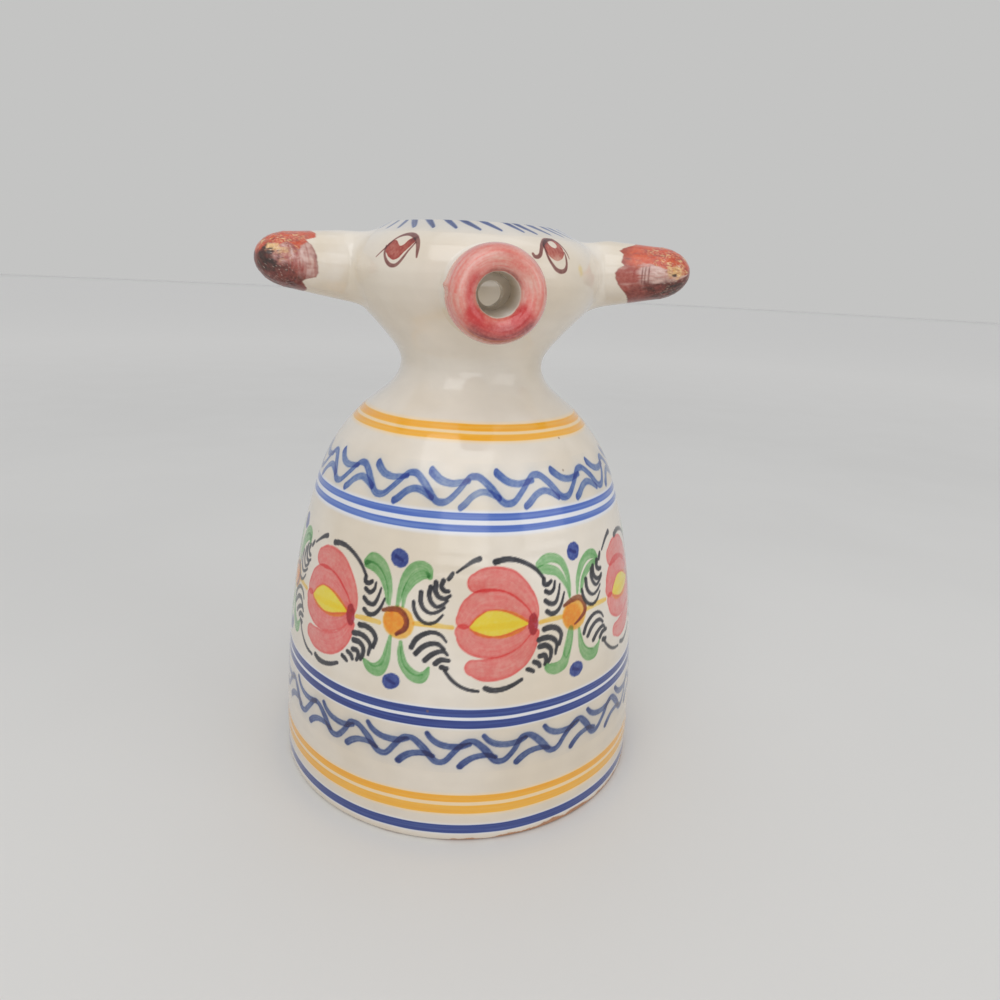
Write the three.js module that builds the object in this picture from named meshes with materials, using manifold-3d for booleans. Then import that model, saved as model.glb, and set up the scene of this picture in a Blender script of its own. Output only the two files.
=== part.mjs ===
// Bull-shaped pitcher of glazed earthenware: a thrown bell that closes to a neck, a thrown bowl for
// the head with an open rim, a ring snout that pours, two hollow horns and a pulled strap handle.
// Millimetres, +Z up. The bull looks along -Y. The origin is the middle of the foot's resting plane.
import * as THREE from "three";
import { mergeVertices } from "three/addons/utils/BufferGeometryUtils.js";
import Module from "manifold-3d";

const wasm = await Module();
wasm.setup();

// Driving dimensions. A station is a radius on the outside of the thrown wall and how far it lies
// above the station before it, from the foot up to the rim.
const foot = { radius: 83, rise: 0 };
const lowerBelly = { radius: 82.8, rise: 18 };
const belly = { radius: 80.6, rise: 36 };
const upperBelly = { radius: 76, rise: 36 };
const shoulder = { radius: 69.6, rise: 28 };
const turn = { radius: 60.4, rise: 25 };
const slope = { radius: 47.4, rise: 16.5 };
const throat = { radius: 33.2, rise: 12 };
const neck = { radius: 30, rise: 7.5 };
const seam = { radius: 31.2, rise: 5 };
const chin = { radius: 41.2, rise: 12.2 };
const jowl = { radius: 49.6, rise: 9.2 };
const cheek = { radius: 53.2, rise: 9.6 };
const brow = { radius: 49, rise: 11 };
const rim = { radius: 35.3, rise: 7.9 };

const wall = 6;
const lipThickness = 5;
const floorThickness = 8;
const floorFillet = 7;
const footEdgeRadius = 1.6;
const footRingWidth = 13;
const footRecess = 2;
const slipLayer = 0.3;

// The snout is a thick ring on a short tube, luted to the front of the head and open behind.
const snoutBelowCheek = 5.8;
const snoutBoreRadius = 7.3;
const snoutCrestRadius = 12.2;
const snoutRingRadius = 17.4;
const snoutRingHalfHeight = 16.7;
const snoutTubeRadius = 16.2;
const snoutReach = 21.6;
const snoutSwell = 10.4;
const snoutFillet = 4.5;
const snoutLipDepth = 3.4;
const pourHoleRadius = 4.5;

// A horn leaves the side of the head, leans forward and ends in a blunt oval. It is hollow, and a
// vent behind it lets steam out in the kiln.
const hornAboveCheek = 1.5;
const hornUnevenness = 1;
const hornRadius = 11.9;
const hornLength = 29.4;
const hornForward = 27.6;
const hornBack = 5;
const hornLift = 2.7;
const hornRoundLength = 30;
const hornWall = 4.2;
const hornFillet = 6;
const hornBelowRim = 2.9;
const ventRadius = 2.2;

// The strap handle leaves the back of the head and comes down on the shoulder.
const handleTopAboveCheek = 5;
const handleFootAboveTurn = 3;
const handleReach = 77.5;
const handleRiseAtCrest = 5;
const handleWidth = 25;
const handleFootWidth = 31;
const handleThickness = 9.2;
const handleRootThickness = 13;
const handleGroove = 1.4;
const handleRootDepth = 9;

// How finely each form is faceted, and how far a flat may cut across the true curve.
const turns = 60;
const stepsPerSpan = 8;
const chordError = 0.15;
const lipSteps = 7;
const ringSides = 28;
const strapSteps = 26;
const strapSides = 20;
const burial = 2.5;

const colours = { glaze: "#e6dfd2", red: "#b8453c", brown: "#8c3a2c" };

const stations = [foot, lowerBelly, belly, upperBelly, shoulder, turn, slope, throat, neck, seam];
stations.push(chin, jowl, cheek, brow, rim);

function heightOf(last) {
  const below = stations.slice(0, stations.indexOf(last) + 1);
  return below.reduce((sum, station) => sum + station.rise, 0);
}

const seamHeight = heightOf(seam);
const rimHeight = heightOf(rim);
const snoutHeight = heightOf(cheek) - snoutBelowCheek;
const hornHeightOn = (side) => heightOf(cheek) + hornAboveCheek + side * hornUnevenness;
const handleTopHeight = heightOf(cheek) + handleTopAboveCheek;
const handleFootHeight = heightOf(turn) + handleFootAboveTurn;

// Drops each point that lies within the chord error of the flat between its neighbours.
function thinned(line) {
  const kept = [line[0]];
  for (let i = 1; i + 1 < line.length; i++) {
    const from = kept.at(-1);
    const along = line[i + 1].clone().sub(from).normalize();
    const skipped = line.slice(line.indexOf(from) + 1, i + 1);
    if (skipped.some((p) => Math.abs(p.clone().sub(from).cross(along)) > chordError)) kept.push(line[i]);
  }
  return [...kept, line.at(-1)];
}

// The outside of the thrown wall from foot to rim, as points of radius and height.
function outerLine() {
  const points = stations.map((s) => new THREE.Vector3(s.radius, heightOf(s), 0));
  const curve = new THREE.CatmullRomCurve3(points, false, "centripetal");
  const fine = curve.getPoints(stepsPerSpan * (stations.length - 1));
  return fine.map((p) => new THREE.Vector2(p.x, p.y));
}

// The line moved sideways by a distance, positive towards the outside of the wall.
function offsetLine(line, distance) {
  return line.map((p, i) => {
    const before = line[Math.max(i - 1, 0)];
    const after = line[Math.min(i + 1, line.length - 1)];
    const along = after.clone().sub(before).normalize();
    return new THREE.Vector2(p.x + along.y * distance, p.y - along.x * distance);
  });
}

function radiusOn(line, height) {
  const above = line.findIndex((p, i) => i > 0 && p.y >= height);
  const i = above < 0 ? line.length - 1 : above;
  const share = (height - line[i - 1].y) / (line[i].y - line[i - 1].y);
  return THREE.MathUtils.lerp(line[i - 1].x, line[i].x, share);
}

// The stretch of a line between two heights, cut square at both.
function between(line, low, high) {
  const inner = line.filter((p) => p.y > low && p.y < high);
  const cut = (height) => new THREE.Vector2(radiusOn(line, height), height);
  return thinned([cut(low), ...inner, cut(high)]);
}

function arc(centre, radius, from, to, steps) {
  return Array.from({ length: steps + 1 }, (_, i) => {
    const angle = THREE.MathUtils.degToRad(THREE.MathUtils.lerp(from, to, i / steps));
    return new THREE.Vector2(Math.cos(angle), Math.sin(angle)).multiplyScalar(radius).add(centre);
  });
}

function solidOf(geometry) {
  const bare = new THREE.BufferGeometry().setAttribute("position", geometry.getAttribute("position"));
  bare.setIndex(geometry.index);
  const merged = mergeVertices(bare, 1e-3);
  const vertProperties = merged.attributes.position.array;
  const triVerts = new Uint32Array(merged.index.array);
  return new wasm.Manifold(new wasm.Mesh({ numProp: 3, vertProperties, triVerts }));
}

function piece(name, solid, color, roughness) {
  const { vertProperties, triVerts } = solid.getMesh();
  const geometry = new THREE.BufferGeometry();
  geometry.setAttribute("position", new THREE.BufferAttribute(vertProperties, 3));
  geometry.setIndex(new THREE.BufferAttribute(triVerts, 1));
  const material = new THREE.MeshStandardMaterial({ color, roughness, metalness: 0, flatShading: true });
  const mesh = new THREE.Mesh(geometry, material);
  mesh.name = name;
  return mesh;
}

// A solid of revolution about +Z from points of radius and height that run up the outside.
function thrown(profile) {
  return solidOf(new THREE.LatheGeometry(profile, turns).rotateX(Math.PI / 2));
}

// The skin over a row of sections. A section is a ring of points, or one point where a form ends,
// and a row that ends on the ring where it began closes on itself.
function skinned(sections) {
  const positions = sections.flat().flatMap((p) => p.toArray());
  const starts = sections.map((_, i) => sections.slice(0, i).flat().length);
  const faces = [];
  for (let s = 0; s + 1 < sections.length; s++) {
    const [a, b] = [sections[s], sections[s + 1]];
    const sides = Math.max(a.length, b.length);
    for (let i = 0; i < sides; i++) {
      const next = (i + 1) % sides;
      const [a0, a1] = [starts[s] + (i % a.length), starts[s] + (next % a.length)];
      const [b0, b1] = [starts[s + 1] + (i % b.length), starts[s + 1] + (next % b.length)];
      if (a.length > 1) faces.push(a0, a1, b1);
      if (b.length > 1) faces.push(a0, b1, b0);
    }
  }
  const geometry = new THREE.BufferGeometry();
  geometry.setAttribute("position", new THREE.Float32BufferAttribute(positions, 3));
  return solidOf(geometry.setIndex(faces));
}

const outside = outerLine();
const inside = offsetLine(outside, -wall);
const clearOutside = offsetLine(outside, slipLayer);

// All that the thrown walls and the air inside them fill, with the slip layer outside.
function thrownClearance() {
  const line = thinned(clearOutside);
  const base = new THREE.Vector2(0, line[0].y);
  const lipTop = rimHeight + lipThickness;
  return thrown([base, ...line, new THREE.Vector2(line.at(-1).x, lipTop), new THREE.Vector2(0, lipTop)]);
}

const clearance = thrownClearance();

// How far along a direction the slip layer outside the head is met, going in from far out.
function seatDistance(origin, direction) {
  let [near, far] = [0, 2 * foot.radius];
  for (let i = 0; i < 40; i++) {
    const middle = (near + far) / 2;
    const p = origin.clone().addScaledVector(direction, middle);
    if (Math.hypot(p.x, p.y) < radiusOn(clearOutside, p.z)) near = middle;
    else far = middle;
  }
  return far;
}

// Bell: one thrown wall from the turned foot up to the seam, with its floor.
function makeBell() {
  const ringInside = foot.radius - footRingWidth;
  const edge = new THREE.Vector2(foot.radius - footEdgeRadius, footEdgeRadius);
  const underside = [
    new THREE.Vector2(0, footRecess),
    new THREE.Vector2(ringInside - footRecess, footRecess),
    new THREE.Vector2(ringInside, 0),
    ...arc(edge, footEdgeRadius, -90, -20, 3),
  ];
  const top = seamHeight - slipLayer / 2;
  const cornerHeight = floorThickness + floorFillet;
  const corner = new THREE.Vector2(radiusOn(inside, cornerHeight) - floorFillet, cornerHeight);
  const outer = between(outside, footEdgeRadius * 1.5, top);
  const inner = between(inside, cornerHeight, top).reverse();
  const intoFloor = arc(corner, floorFillet, -15, -90, 4);
  return thrown([...underside, ...outer, ...inner, ...intoFloor, new THREE.Vector2(0, floorThickness)]);
}

function bored(solid, radius, from, direction, length) {
  const bore = new THREE.CylinderGeometry(radius, radius, length, 20);
  const turnTo = new THREE.Quaternion().setFromUnitVectors(new THREE.Vector3(0, 1, 0), direction);
  const middle = from.clone().addScaledVector(direction, length / 2);
  return solid.subtract(solidOf(bore.applyQuaternion(turnTo).translate(...middle.toArray())));
}

// Head: a thrown bowl luted on the neck, closing in to a rounded lip, pierced behind the snout.
function makeHead() {
  const lipOutside = outside.at(-1);
  const lipInside = offsetLine(outside, -lipThickness).at(-1);
  const lipMiddle = lipOutside.clone().add(lipInside).multiplyScalar(0.5);
  const lean = THREE.MathUtils.radToDeg(lipOutside.clone().sub(lipMiddle).angle());
  const lip = arc(lipMiddle, lipThickness / 2, lean, lean + 180, lipSteps);
  const bottom = seamHeight + slipLayer / 2;
  const outer = between(outside, bottom, lipOutside.y).slice(0, -1);
  const inner = between(inside, bottom, lipInside.y - lipThickness).reverse();
  const profile = [...outer, ...lip, ...inner];
  const bowl = thrown([...profile, profile[0].clone()]);
  const front = new THREE.Vector3(0, -1, 0);
  let head = bored(bowl, pourHoleRadius, new THREE.Vector3(0, 0, snoutHeight), front, foot.radius);
  for (const side of [-1, 1]) {
    const from = new THREE.Vector3(0, 0, hornHeightOn(side));
    head = bored(head, ventRadius, from, new THREE.Vector3(side, 0, 0), foot.radius);
  }
  return head;
}

// Snout: a tube with a saddle seat and a concave fillet, swelling to a thick ring with a bore.
function makeSnout() {
  const front = new THREE.Vector3(0, -1, 0);
  const seatAt = (x, z) => seatDistance(new THREE.Vector3(x, 0, z), front);
  const flattening = snoutRingHalfHeight / snoutRingRadius;
  const ring = (radius, distanceAt) =>
    Array.from({ length: ringSides }, (_, i) => {
      const angle = (2 * Math.PI * i) / ringSides;
      const share = (radius - snoutBoreRadius) / (snoutRingRadius - snoutBoreRadius);
      const halfHeight = radius * THREE.MathUtils.lerp(1, flattening, share);
      const [x, z] = [radius * Math.cos(angle), snoutHeight + halfHeight * Math.sin(angle)];
      return new THREE.Vector3(x, -distanceAt(x, z), z);
    });
  const face = radiusOn(outside, snoutHeight) + snoutReach;
  const filletRadius = snoutTubeRadius + snoutFillet;
  const buried = (x, z) => seatAt(x, z) - burial;
  const fillet = [0, 0.12, 0.35, 0.65, 1].map((share) => {
    const radius = filletRadius - snoutFillet * Math.sqrt(1 - (1 - share) ** 2);
    return ring(radius, (x, z) => seatAt(x, z) + slipLayer + snoutFillet * share);
  });
  const swell = [-30, -10, 12, 34, 54, 72].map((degrees) => {
    const angle = THREE.MathUtils.degToRad(degrees);
    const radius = snoutCrestRadius + (snoutRingRadius - snoutCrestRadius) * Math.cos(angle) ** 0.85;
    return ring(radius, () => face - snoutSwell * (1 - Math.sin(angle)));
  });
  const lip = [90, 60, 35, 12].map((degrees) => {
    const angle = THREE.MathUtils.degToRad(degrees);
    const radius = snoutCrestRadius - (snoutCrestRadius - snoutBoreRadius) * Math.cos(angle);
    return ring(radius, () => face - snoutLipDepth * (1 - Math.sin(angle)));
  });
  const boreFront = ring(snoutBoreRadius, () => face - snoutLipDepth);
  const root = [ring(snoutBoreRadius, buried), ring(filletRadius, buried)];
  const tube = skinned([...root, ...fillet, ...swell, ...lip, boreFront, root[0]]);
  return tube.subtract(clearance);
}

// Horn: hollow, open at its root, where a concave fillet meets the side of the head on a saddle.
function makeHorn(side) {
  const out = new THREE.Vector3(side, 0, 0);
  const reach = cheek.radius + hornLength;
  const height = hornHeightOn(side);
  const start = new THREE.Vector3(0, hornBack, height);
  const bend = new THREE.Vector3((side * reach) / 2, hornBack, height);
  const tip = new THREE.Vector3(side * reach, -hornForward, height + hornLift);
  const line = new THREE.QuadraticBezierCurve3(start, bend, tip);
  const length = line.getLength();
  const ringAt = (fromTip, radius) => {
    const along = line.getTangentAt(1 - fromTip / length);
    const centre = line.getPointAt(1 - fromTip / length);
    const across = new THREE.Vector3(0, 0, 1).cross(along).normalize();
    const up = along.clone().cross(across);
    return Array.from({ length: ringSides }, (_, i) => {
      const angle = (2 * Math.PI * i) / ringSides;
      const point = centre.clone().addScaledVector(across, radius * Math.cos(angle));
      return point.addScaledVector(up, radius * Math.sin(angle));
    });
  };
  const rootFromTip = length * (1 - cheek.radius / reach);
  const onHead = (radius, lift) =>
    ringAt(rootFromTip, radius).map((p) => {
      const seat = new THREE.Vector3(0, p.y, Math.min(p.z, rimHeight - hornBelowRim));
      return seat.addScaledVector(out, seatDistance(seat, out) + lift);
    });
  const filletRadius = hornRadius + hornFillet;
  const fillet = [0, 0.12, 0.35, 0.65].map((share) => {
    const radius = filletRadius - hornFillet * Math.sqrt(1 - (1 - share) ** 2);
    return onHead(radius, slipLayer + hornFillet * share);
  });
  const oval = (radius, roundLength, tipWall, steps) =>
    Array.from({ length: steps }, (_, i) => {
      const angle = (Math.PI / 2) * (i / steps) ** 0.9;
      return ringAt(tipWall + roundLength * (1 - Math.sin(angle)), radius * Math.cos(angle));
    });
  const hollowRadius = hornRadius - hornWall;
  const outer = oval(hornRadius, hornRoundLength, 0, 8);
  const hollow = oval(hollowRadius, hornRoundLength - hornWall, hornWall, 5).reverse();
  const root = [onHead(hollowRadius, -burial), onHead(filletRadius, -burial)];
  const hollowTip = [line.getPointAt(1 - hornWall / length)];
  const shell = [hollowTip, ...hollow, ...root, ...fillet, ...outer, [line.getPointAt(1)]];
  return skinned(shell).subtract(clearance);
}

// Handle: a pulled strap with a shallow groove down its back, thicker and wider where it is pressed
// on to the head and the shoulder.
function makeHandle() {
  const topSeat = radiusOn(outside, handleTopHeight) - handleRootDepth;
  const footSeat = radiusOn(outside, handleFootHeight) - handleRootDepth;
  const crest = handleTopHeight + handleRiseAtCrest;
  const middle = (crest + handleFootHeight) / 2;
  const points = [
    [topSeat, handleTopHeight],
    [topSeat + handleThickness * 1.9, crest],
    [handleReach - handleThickness * 0.5, crest - handleThickness],
    [handleReach, middle + handleThickness * 0.4],
    [handleReach - handleThickness, handleFootHeight + handleThickness * 1.2],
    [footSeat, handleFootHeight - handleThickness * 0.2],
  ].map(([y, z]) => new THREE.Vector3(0, y, z));
  const line = new THREE.CatmullRomCurve3(points, false, "centripetal");
  const blunt = (value) => Math.sign(value) * Math.abs(value) ** 0.8;
  const sections = Array.from({ length: strapSteps + 1 }, (_, s) => {
    const t = s / strapSteps;
    const centre = line.getPointAt(t);
    const inward = line.getTangentAt(t).cross(new THREE.Vector3(1, 0, 0)).normalize();
    const flare = Math.abs(2 * t - 1) ** 4;
    const endWidth = t > 0.5 ? handleFootWidth : (handleWidth + handleFootWidth) / 2;
    const width = THREE.MathUtils.lerp(handleWidth, endWidth, flare);
    const thickness = THREE.MathUtils.lerp(handleThickness, handleRootThickness, flare);
    return Array.from({ length: strapSides }, (_, i) => {
      const angle = (2 * Math.PI * i) / strapSides;
      const point = centre.clone().setX((width / 2) * blunt(Math.cos(angle)));
      const groove = Math.sin(angle) < 0 ? handleGroove * Math.sin(angle) ** 6 * (1 - flare) : 0;
      return point.addScaledVector(inward, (thickness / 2) * blunt(Math.sin(angle)) + groove);
    });
  });
  const strap = skinned([[line.getPointAt(0)], ...sections, [line.getPointAt(1)]]);
  return strap.subtract(clearance);
}

const pitcher = new THREE.Group();
pitcher.add(piece("bell_body", makeBell(), colours.glaze, 0.12));
pitcher.add(piece("head_bowl", makeHead(), colours.glaze, 0.12));
pitcher.add(piece("snout_ring", makeSnout(), colours.red, 0.15));
pitcher.add(piece("horn_right", makeHorn(-1), colours.brown, 0.3));
pitcher.add(piece("horn_left", makeHorn(1), colours.brown, 0.3));
pitcher.add(piece("handle_strap", makeHandle(), colours.glaze, 0.12));

export default pitcher;
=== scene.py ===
import math
from functools import reduce

import bpy
import numpy as np
from bpy.props import FloatProperty, FloatVectorProperty, PointerProperty
from mathutils import Matrix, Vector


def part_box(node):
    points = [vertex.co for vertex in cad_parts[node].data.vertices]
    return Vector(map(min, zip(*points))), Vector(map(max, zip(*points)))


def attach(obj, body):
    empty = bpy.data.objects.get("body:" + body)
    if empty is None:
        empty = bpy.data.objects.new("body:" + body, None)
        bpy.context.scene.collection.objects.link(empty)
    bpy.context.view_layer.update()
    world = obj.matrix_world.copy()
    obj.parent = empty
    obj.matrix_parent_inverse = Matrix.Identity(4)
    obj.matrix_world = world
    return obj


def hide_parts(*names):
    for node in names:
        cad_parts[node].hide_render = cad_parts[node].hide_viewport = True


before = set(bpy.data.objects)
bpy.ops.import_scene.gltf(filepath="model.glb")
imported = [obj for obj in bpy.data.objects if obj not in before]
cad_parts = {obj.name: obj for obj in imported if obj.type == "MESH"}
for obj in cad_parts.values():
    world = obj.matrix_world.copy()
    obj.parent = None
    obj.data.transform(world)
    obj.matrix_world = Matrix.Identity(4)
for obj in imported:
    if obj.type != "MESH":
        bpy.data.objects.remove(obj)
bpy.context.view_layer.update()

# Looks of a bull-shaped pitcher of tin-glazed earthenware: a thrown bell and head, a ring snout, two
# horns and a strap handle, painted by hand. Lengths in the code are millimetres, +Z up, and the bull
# looks along -Y, as in the frame. A height or a radius ends up in metres only in shell().
bl_info = {
    "name": "Bull-shaped pitcher",
    "version": (1, 0, 0),
    "blender": (4, 5, 0),
    "location": "3D View > Sidebar > Pitcher",
    "description": "Throws, lutes, glazes and paints a pitcher in the shape of a bull",
    "category": "Add Mesh",
}

HORN_TIPS = tuple(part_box(node)[i].x for node, i in (("horn_right", 0), ("horn_left", 1)))
TAU = 2 * math.pi

# Radius and height of the outside of the thrown wall, from the foot to the rim.
STATIONS = (
    (83, 0), (82.8, 18), (80.6, 54), (76, 90), (69.6, 118), (60.4, 143), (47.4, 159.5), (33.2, 171.5),
    (30, 179), (31.2, 184), (41.2, 196.2), (49.6, 205.4), (53.2, 215), (49, 226), (35.3, 233.9),
)
SEAM = 184.0  # height where the head is luted on the bell's neck
RIM = 233.9  # height of the rim, the top of the stations
FOOT_RECESS = 2.0
CORNER = 7  # radius of the corner between the wall and the floor inside
BELL_SCALE = 80.0  # a brush point on the bell is at this many millimetres for each radian from the face
HEAD_SCALE = 50.0
RIM_SCALE = 36.0

# Brush strokes, one to a line: places "across height width" in millimetres. Across runs round the wall,
# from the face towards the bull's left. The flower's own middle is at FLOWER_AT, a knob's at KNOB_AT.
FLOWER_AT = 4.5
KNOB_AT = (-35.7, 39.4)
# Where each flower stands, and the two knobs between flowers that the photo shows, across and lifted.
FLOWERS = ((-71.5, -1.9), (5.3, 0), (79.8, 0), (150.2, -0.7), (220, 0.4), (289.8, -0.3), (359.6, -0.9))
KNOBS = ((-34.9, 0.1), (40.2, 0.1))
# The strokes of a flower. Its stems are ochre, and its lines are the black curls round it.
PETALS = """
-5.2 107.2 7,-1.6 108.1 8.8,3.9 108.5 9,9.1 107.3 8.8,14.3 103.4 7.6,18.1 98.9 5.6,19.9 94.3 3.4,19.6 91.7 2.2
-5.6 75.2 6.4,-1.3 74.3 8.8,4.2 74.5 9.3,9.1 75.8 9,14.1 78.7 7.7,17.8 83 5.6,19.8 86.9 3.4
-9.5 93.4 6.6,-6.8 97.7 8.6,-1.9 100.7 8.6,3.9 100.7 7.8,9 99.2 7,14.1 95.8 5.4,17.9 92.3 3.2
-9.9 89 6.2,-7.6 86 8.4,-2.9 83.7 9,2.6 83 8.4,8.2 84.1 7.6,13.3 86.4 6.2,17.8 89.2 3.2
"""
FLOWER_EYE = ("-7.2 90.8,-5.9 93.4,-2.5 96,1.7 97.2,6.8 96.9,11.1 95.6,14.9 93.3,16.7 91.4,14.8 88.9,"
              "11.1 87.3,6.8 86.4,1.9 86.6,-3 87.3,-5.7 88.8")
FLOWER_EYE_WASH = "-6.5 90.2 1.4,-1 90.7 2.1,5.3 90.9 2.3,11.1 91.3 2.1,16 91.5 1.6"
HEART = (18.8, 90.4, 2.2, 4.2)  # middle and half axes of the blot at the flower's end
KNOB_HEIGHT = 90.2
STEMS = """
-29 90.9 1.7,-22 91 1.9,-14 90.6 1.5
22 90.6 1.6,27 90.9 1.9,33 90.8 1.7
"""
# The strokes round a knob, of the two kinds that take turns. A dot is a middle and two half axes.
LEAVES = ("""
-40.3 96.5 1.3,-40.7 102.3 2.4,-42.9 107.8 3.4,-46.4 111 4,-50.5 112 4,-53.3 110 2.6
-41.2 96.8 1,-42.3 101.6 1.9,-44.6 105.7 2.7,-48.2 108.5 3.4,-52.8 109.2 2.8
-36.6 96.6 1.4,-35.7 103.1 2.6,-33.9 108.2 3.3,-31.1 111.2 3.6,-27.6 112.2 3.4,-24.6 111 3,-24 108.6 2.4
-34.3 96.5 1.1,-33.9 101.3 2.4,-31.4 105.9 3.4,-27.9 108.6 3.5,-24.9 109 2.2
-38.6 84.3 1.3,-39.3 79.4 2.5,-40.2 74.5 3.9,-42.8 70.5 5.2,-45.8 70.1 4.5,-48.7 71.9 2.4,-49.8 72.9 1
-34.1 82.8 1.4,-33.8 78.6 2.8,-32.4 74.5 3.6,-29.2 71.1 4.5,-25.8 70.1 4.6,-23.8 71.6 3.2,-22.5 74.5 .8
""", """
22.2 112.4 2.6,25.3 113.8 3.4,29.6 113.9 3.4,33.6 112 3.1,35.8 108.5 2.6,37.1 104.1 1.8,37.5 98.3 .8
22.8 110.4 2.8,26.7 109.9 3.6,30.9 108.5 3.2,34.1 105.1 2.3,36.1 101.4 1.4,37.1 97.5 .8
41.6 98.4 1.2,42.5 103.9 2.2,45.7 109 3.1,49.9 111.4 3.6,54.3 111.2 3.5,56.5 109.5 1.8
43.8 98.4 1.4,45.6 102.9 2.4,49 106.2 2.9,53.8 107.9 2.7,56.4 108.4 1.4
36.9 85 2.6,36.2 80.7 3.3,34.5 75.7 3.7,32.4 71.7 4.7,28.5 70.8 4.7,25.4 71.9 3.5,24.2 73.4 1.4
41.5 83.8 1.3,42.1 79.1 2.4,43.5 74.7 3.8,46.8 71.6 5.1,50.4 71.1 4.4,52.9 73.1 2.2,54.6 75.7 .6
""")
VEINS = ("""
-39.4 82 .5,-40.2 77 .6,-41.6 72.8 .7,-44.6 71.3 .7,-47.6 72 .5
-34 81 .5,-33.2 76 .6,-30.6 72.4 .7,-27.4 70.9 .7,-24.6 71.6 .5
""", """
35.4 84.4 .5,34 80.3 .6,33 76.1 .7,34.2 74 .7,35.8 75.8 .6,37.2 80 .5,38 83.6 .4
42.3 81.6 .5,43.9 77.1 .7,46.5 74.3 .7,50 73.4 .7,53 74.3 .5
""")
HOOKS = (
    "-42.7 93.7 1.2,-39.8 94.6 1.8,-36.2 95 2,-33.5 93.5 2.1,-32.2 90.9 2.1,-33 88.1 2,-36.1 85.7 1.3",
    "33.9 94.8 1.2,38.3 96.3 2,42.5 96.3 2.2,45.2 93.2 2,45.4 90.2 1.9,42.6 88 1.3,39.2 86.4 .6",
)
DOTS = ("-37.8 113.8 4.1 3.3,-37.2 66.9 3.8 3.1", "41.2 114.7 3.7 3.3,39.5 67.7 3.6 3.1")
LINES = """
-30 98.9 1.3,-29.4 95.8 1.5,-26.9 92.6 1.4,-23.8 91.4 1.3,-20.6 92.3 1.1,-18 95 .8
-27.2 102.6 2,-27.2 99.8 1.9,-25.9 97 1.6,-23.1 95.4 1.3,-20 96.1 1.2,-17.4 97.9 .9
-23.4 104.8 2,-23.8 102 1.9,-22.8 99.5 1.7,-20.6 97.9 1.4,-18.1 98.9 1.2,-16.3 100.4 .9
-21.4 106.7 2,-21.4 103.9 2,-20 101.7 1.8,-17.5 101.1 1.6,-15.3 102.3 1.1
-18.4 107.6 1.9,-19.1 105.4 1.9,-17.5 103.9 1.7,-16.1 103.9 1.4
-16.3 108.3 1.6,-15.4 109.4 1.7,-14.7 110.4 1.4
-13.1 110.8 .8,-10 112.9 1.1,-6.3 115 1.6,-3.8 115.8 2
2.8 114.6 2.2,7.5 115.4 2,12.5 114.8 1.7,17.5 112.9 1.6,21.3 110.4 1.5,24.1 107.3 1.4
24.4 106.7 1.8,24.5 104.8 1.9,26.3 104.5 1.8,27.8 105.4 1.5
25 102 1.8,27.2 101.1 1.7,29.1 102.6 1.4,29.7 105.1 1
24.7 98.4 1.9,26.9 97 1.9,29.4 97 1.7,30.9 99.2 1.4,32.2 103.6 .8
25.3 94.2 1.9,27.5 92.9 1.9,30.3 93.6 1.6,32.5 96.1 1.3,34.3 100.1 .8
23.8 87.6 2.2,26.9 87.8 2.2,30 86.7 2.1,31.8 84.2 1.9,30.9 80.4 1.4
21.3 83.8 2.2,24.4 84.2 2.2,27.5 83.3 2.1,29.5 81.1 1.8,28.9 77 1.2
21.6 81.1 2.2,24.4 81.1 2.2,26.6 79.2 2,26.6 76.4 1.7,25.6 74.2 1.2
21.6 77.3 2,23.8 77.3 2,24.5 75.4 1.8,23.8 73.6 1.4
19.1 75.4 1.9,20.9 74.5 2,21.6 73.3 1.7
16.3 72.9 1.7,17.6 72.4 1.8,18.8 71.7 1.5
13.8 69.2 1.4,10 67.3 1.7,5.6 66.1 2,1.9 66.1 2.2,-.6 67 2
-29.7 81.7 2,-28.1 84.8 2,-25 87.3 1.8,-21.3 88.3 1.5,-18.1 87.3 1.2,-16.1 85.1 .8
-27.8 79.5 2,-25.6 82 2,-22.5 83.8 1.9,-19.4 84 1.7,-16.9 82.3 1.2
-24.1 77.3 2,-21.9 79.5 2,-19.4 80.9 1.8,-16.9 81.4 1.5,-15.5 80.1 1.1
-20 76.4 2,-18.1 77.9 2,-15 77.9 1.6
-17.5 75.1 2,-15.6 74.8 1.8
-16.3 73.9 1.2,-14.4 71.4 1.3,-11.3 68.6 1.3,-7.5 66.7 1.3,-3.3 65.9 1.1
"""
# One wave of a border: part of the wave, part of its depth and part of the brush's full width.
WAVE = (
    (-0.08, 0.05, 0.8), (0, 0, 0.84), (0.08, 0.04, 0.92), (0.25, 0.42, 1.08),
    (0.42, 0.94, 0.98), (0.5, 1, 0.92), (0.59, 0.94, 0.85), (0.76, 0.5, 0.8),
)
# The branch over a wave's hollow and the branch under its crest, measured from the crest.
UPPER_BRANCHES = """
-21.4 145.2 3,-19.6 144.1 3,-16 142.3 2.6,-11 141.4 2.2,-6 141.8 1.9,-2.6 142.3 1.7
-7.2 133.9 2.5,-5.2 135 2.7,-1.5 137.6 2.5,3 138.9 2.3,7 138.1 2.4,11.2 136.2 2.2
"""
LOWER_BRANCHES = """
-16.6 48 1.9,-15 46 2.3,-12 44.1 2.6,-7.6 43.2 2.6,-3.4 43.5 2.4,-.4 44.4 1.8
-3.6 34.6 2.5,-2 36.2 2.6,1 38.2 2.5,4.6 39 2.3,7.8 38.8 2,9.8 38 1.7
"""
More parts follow.
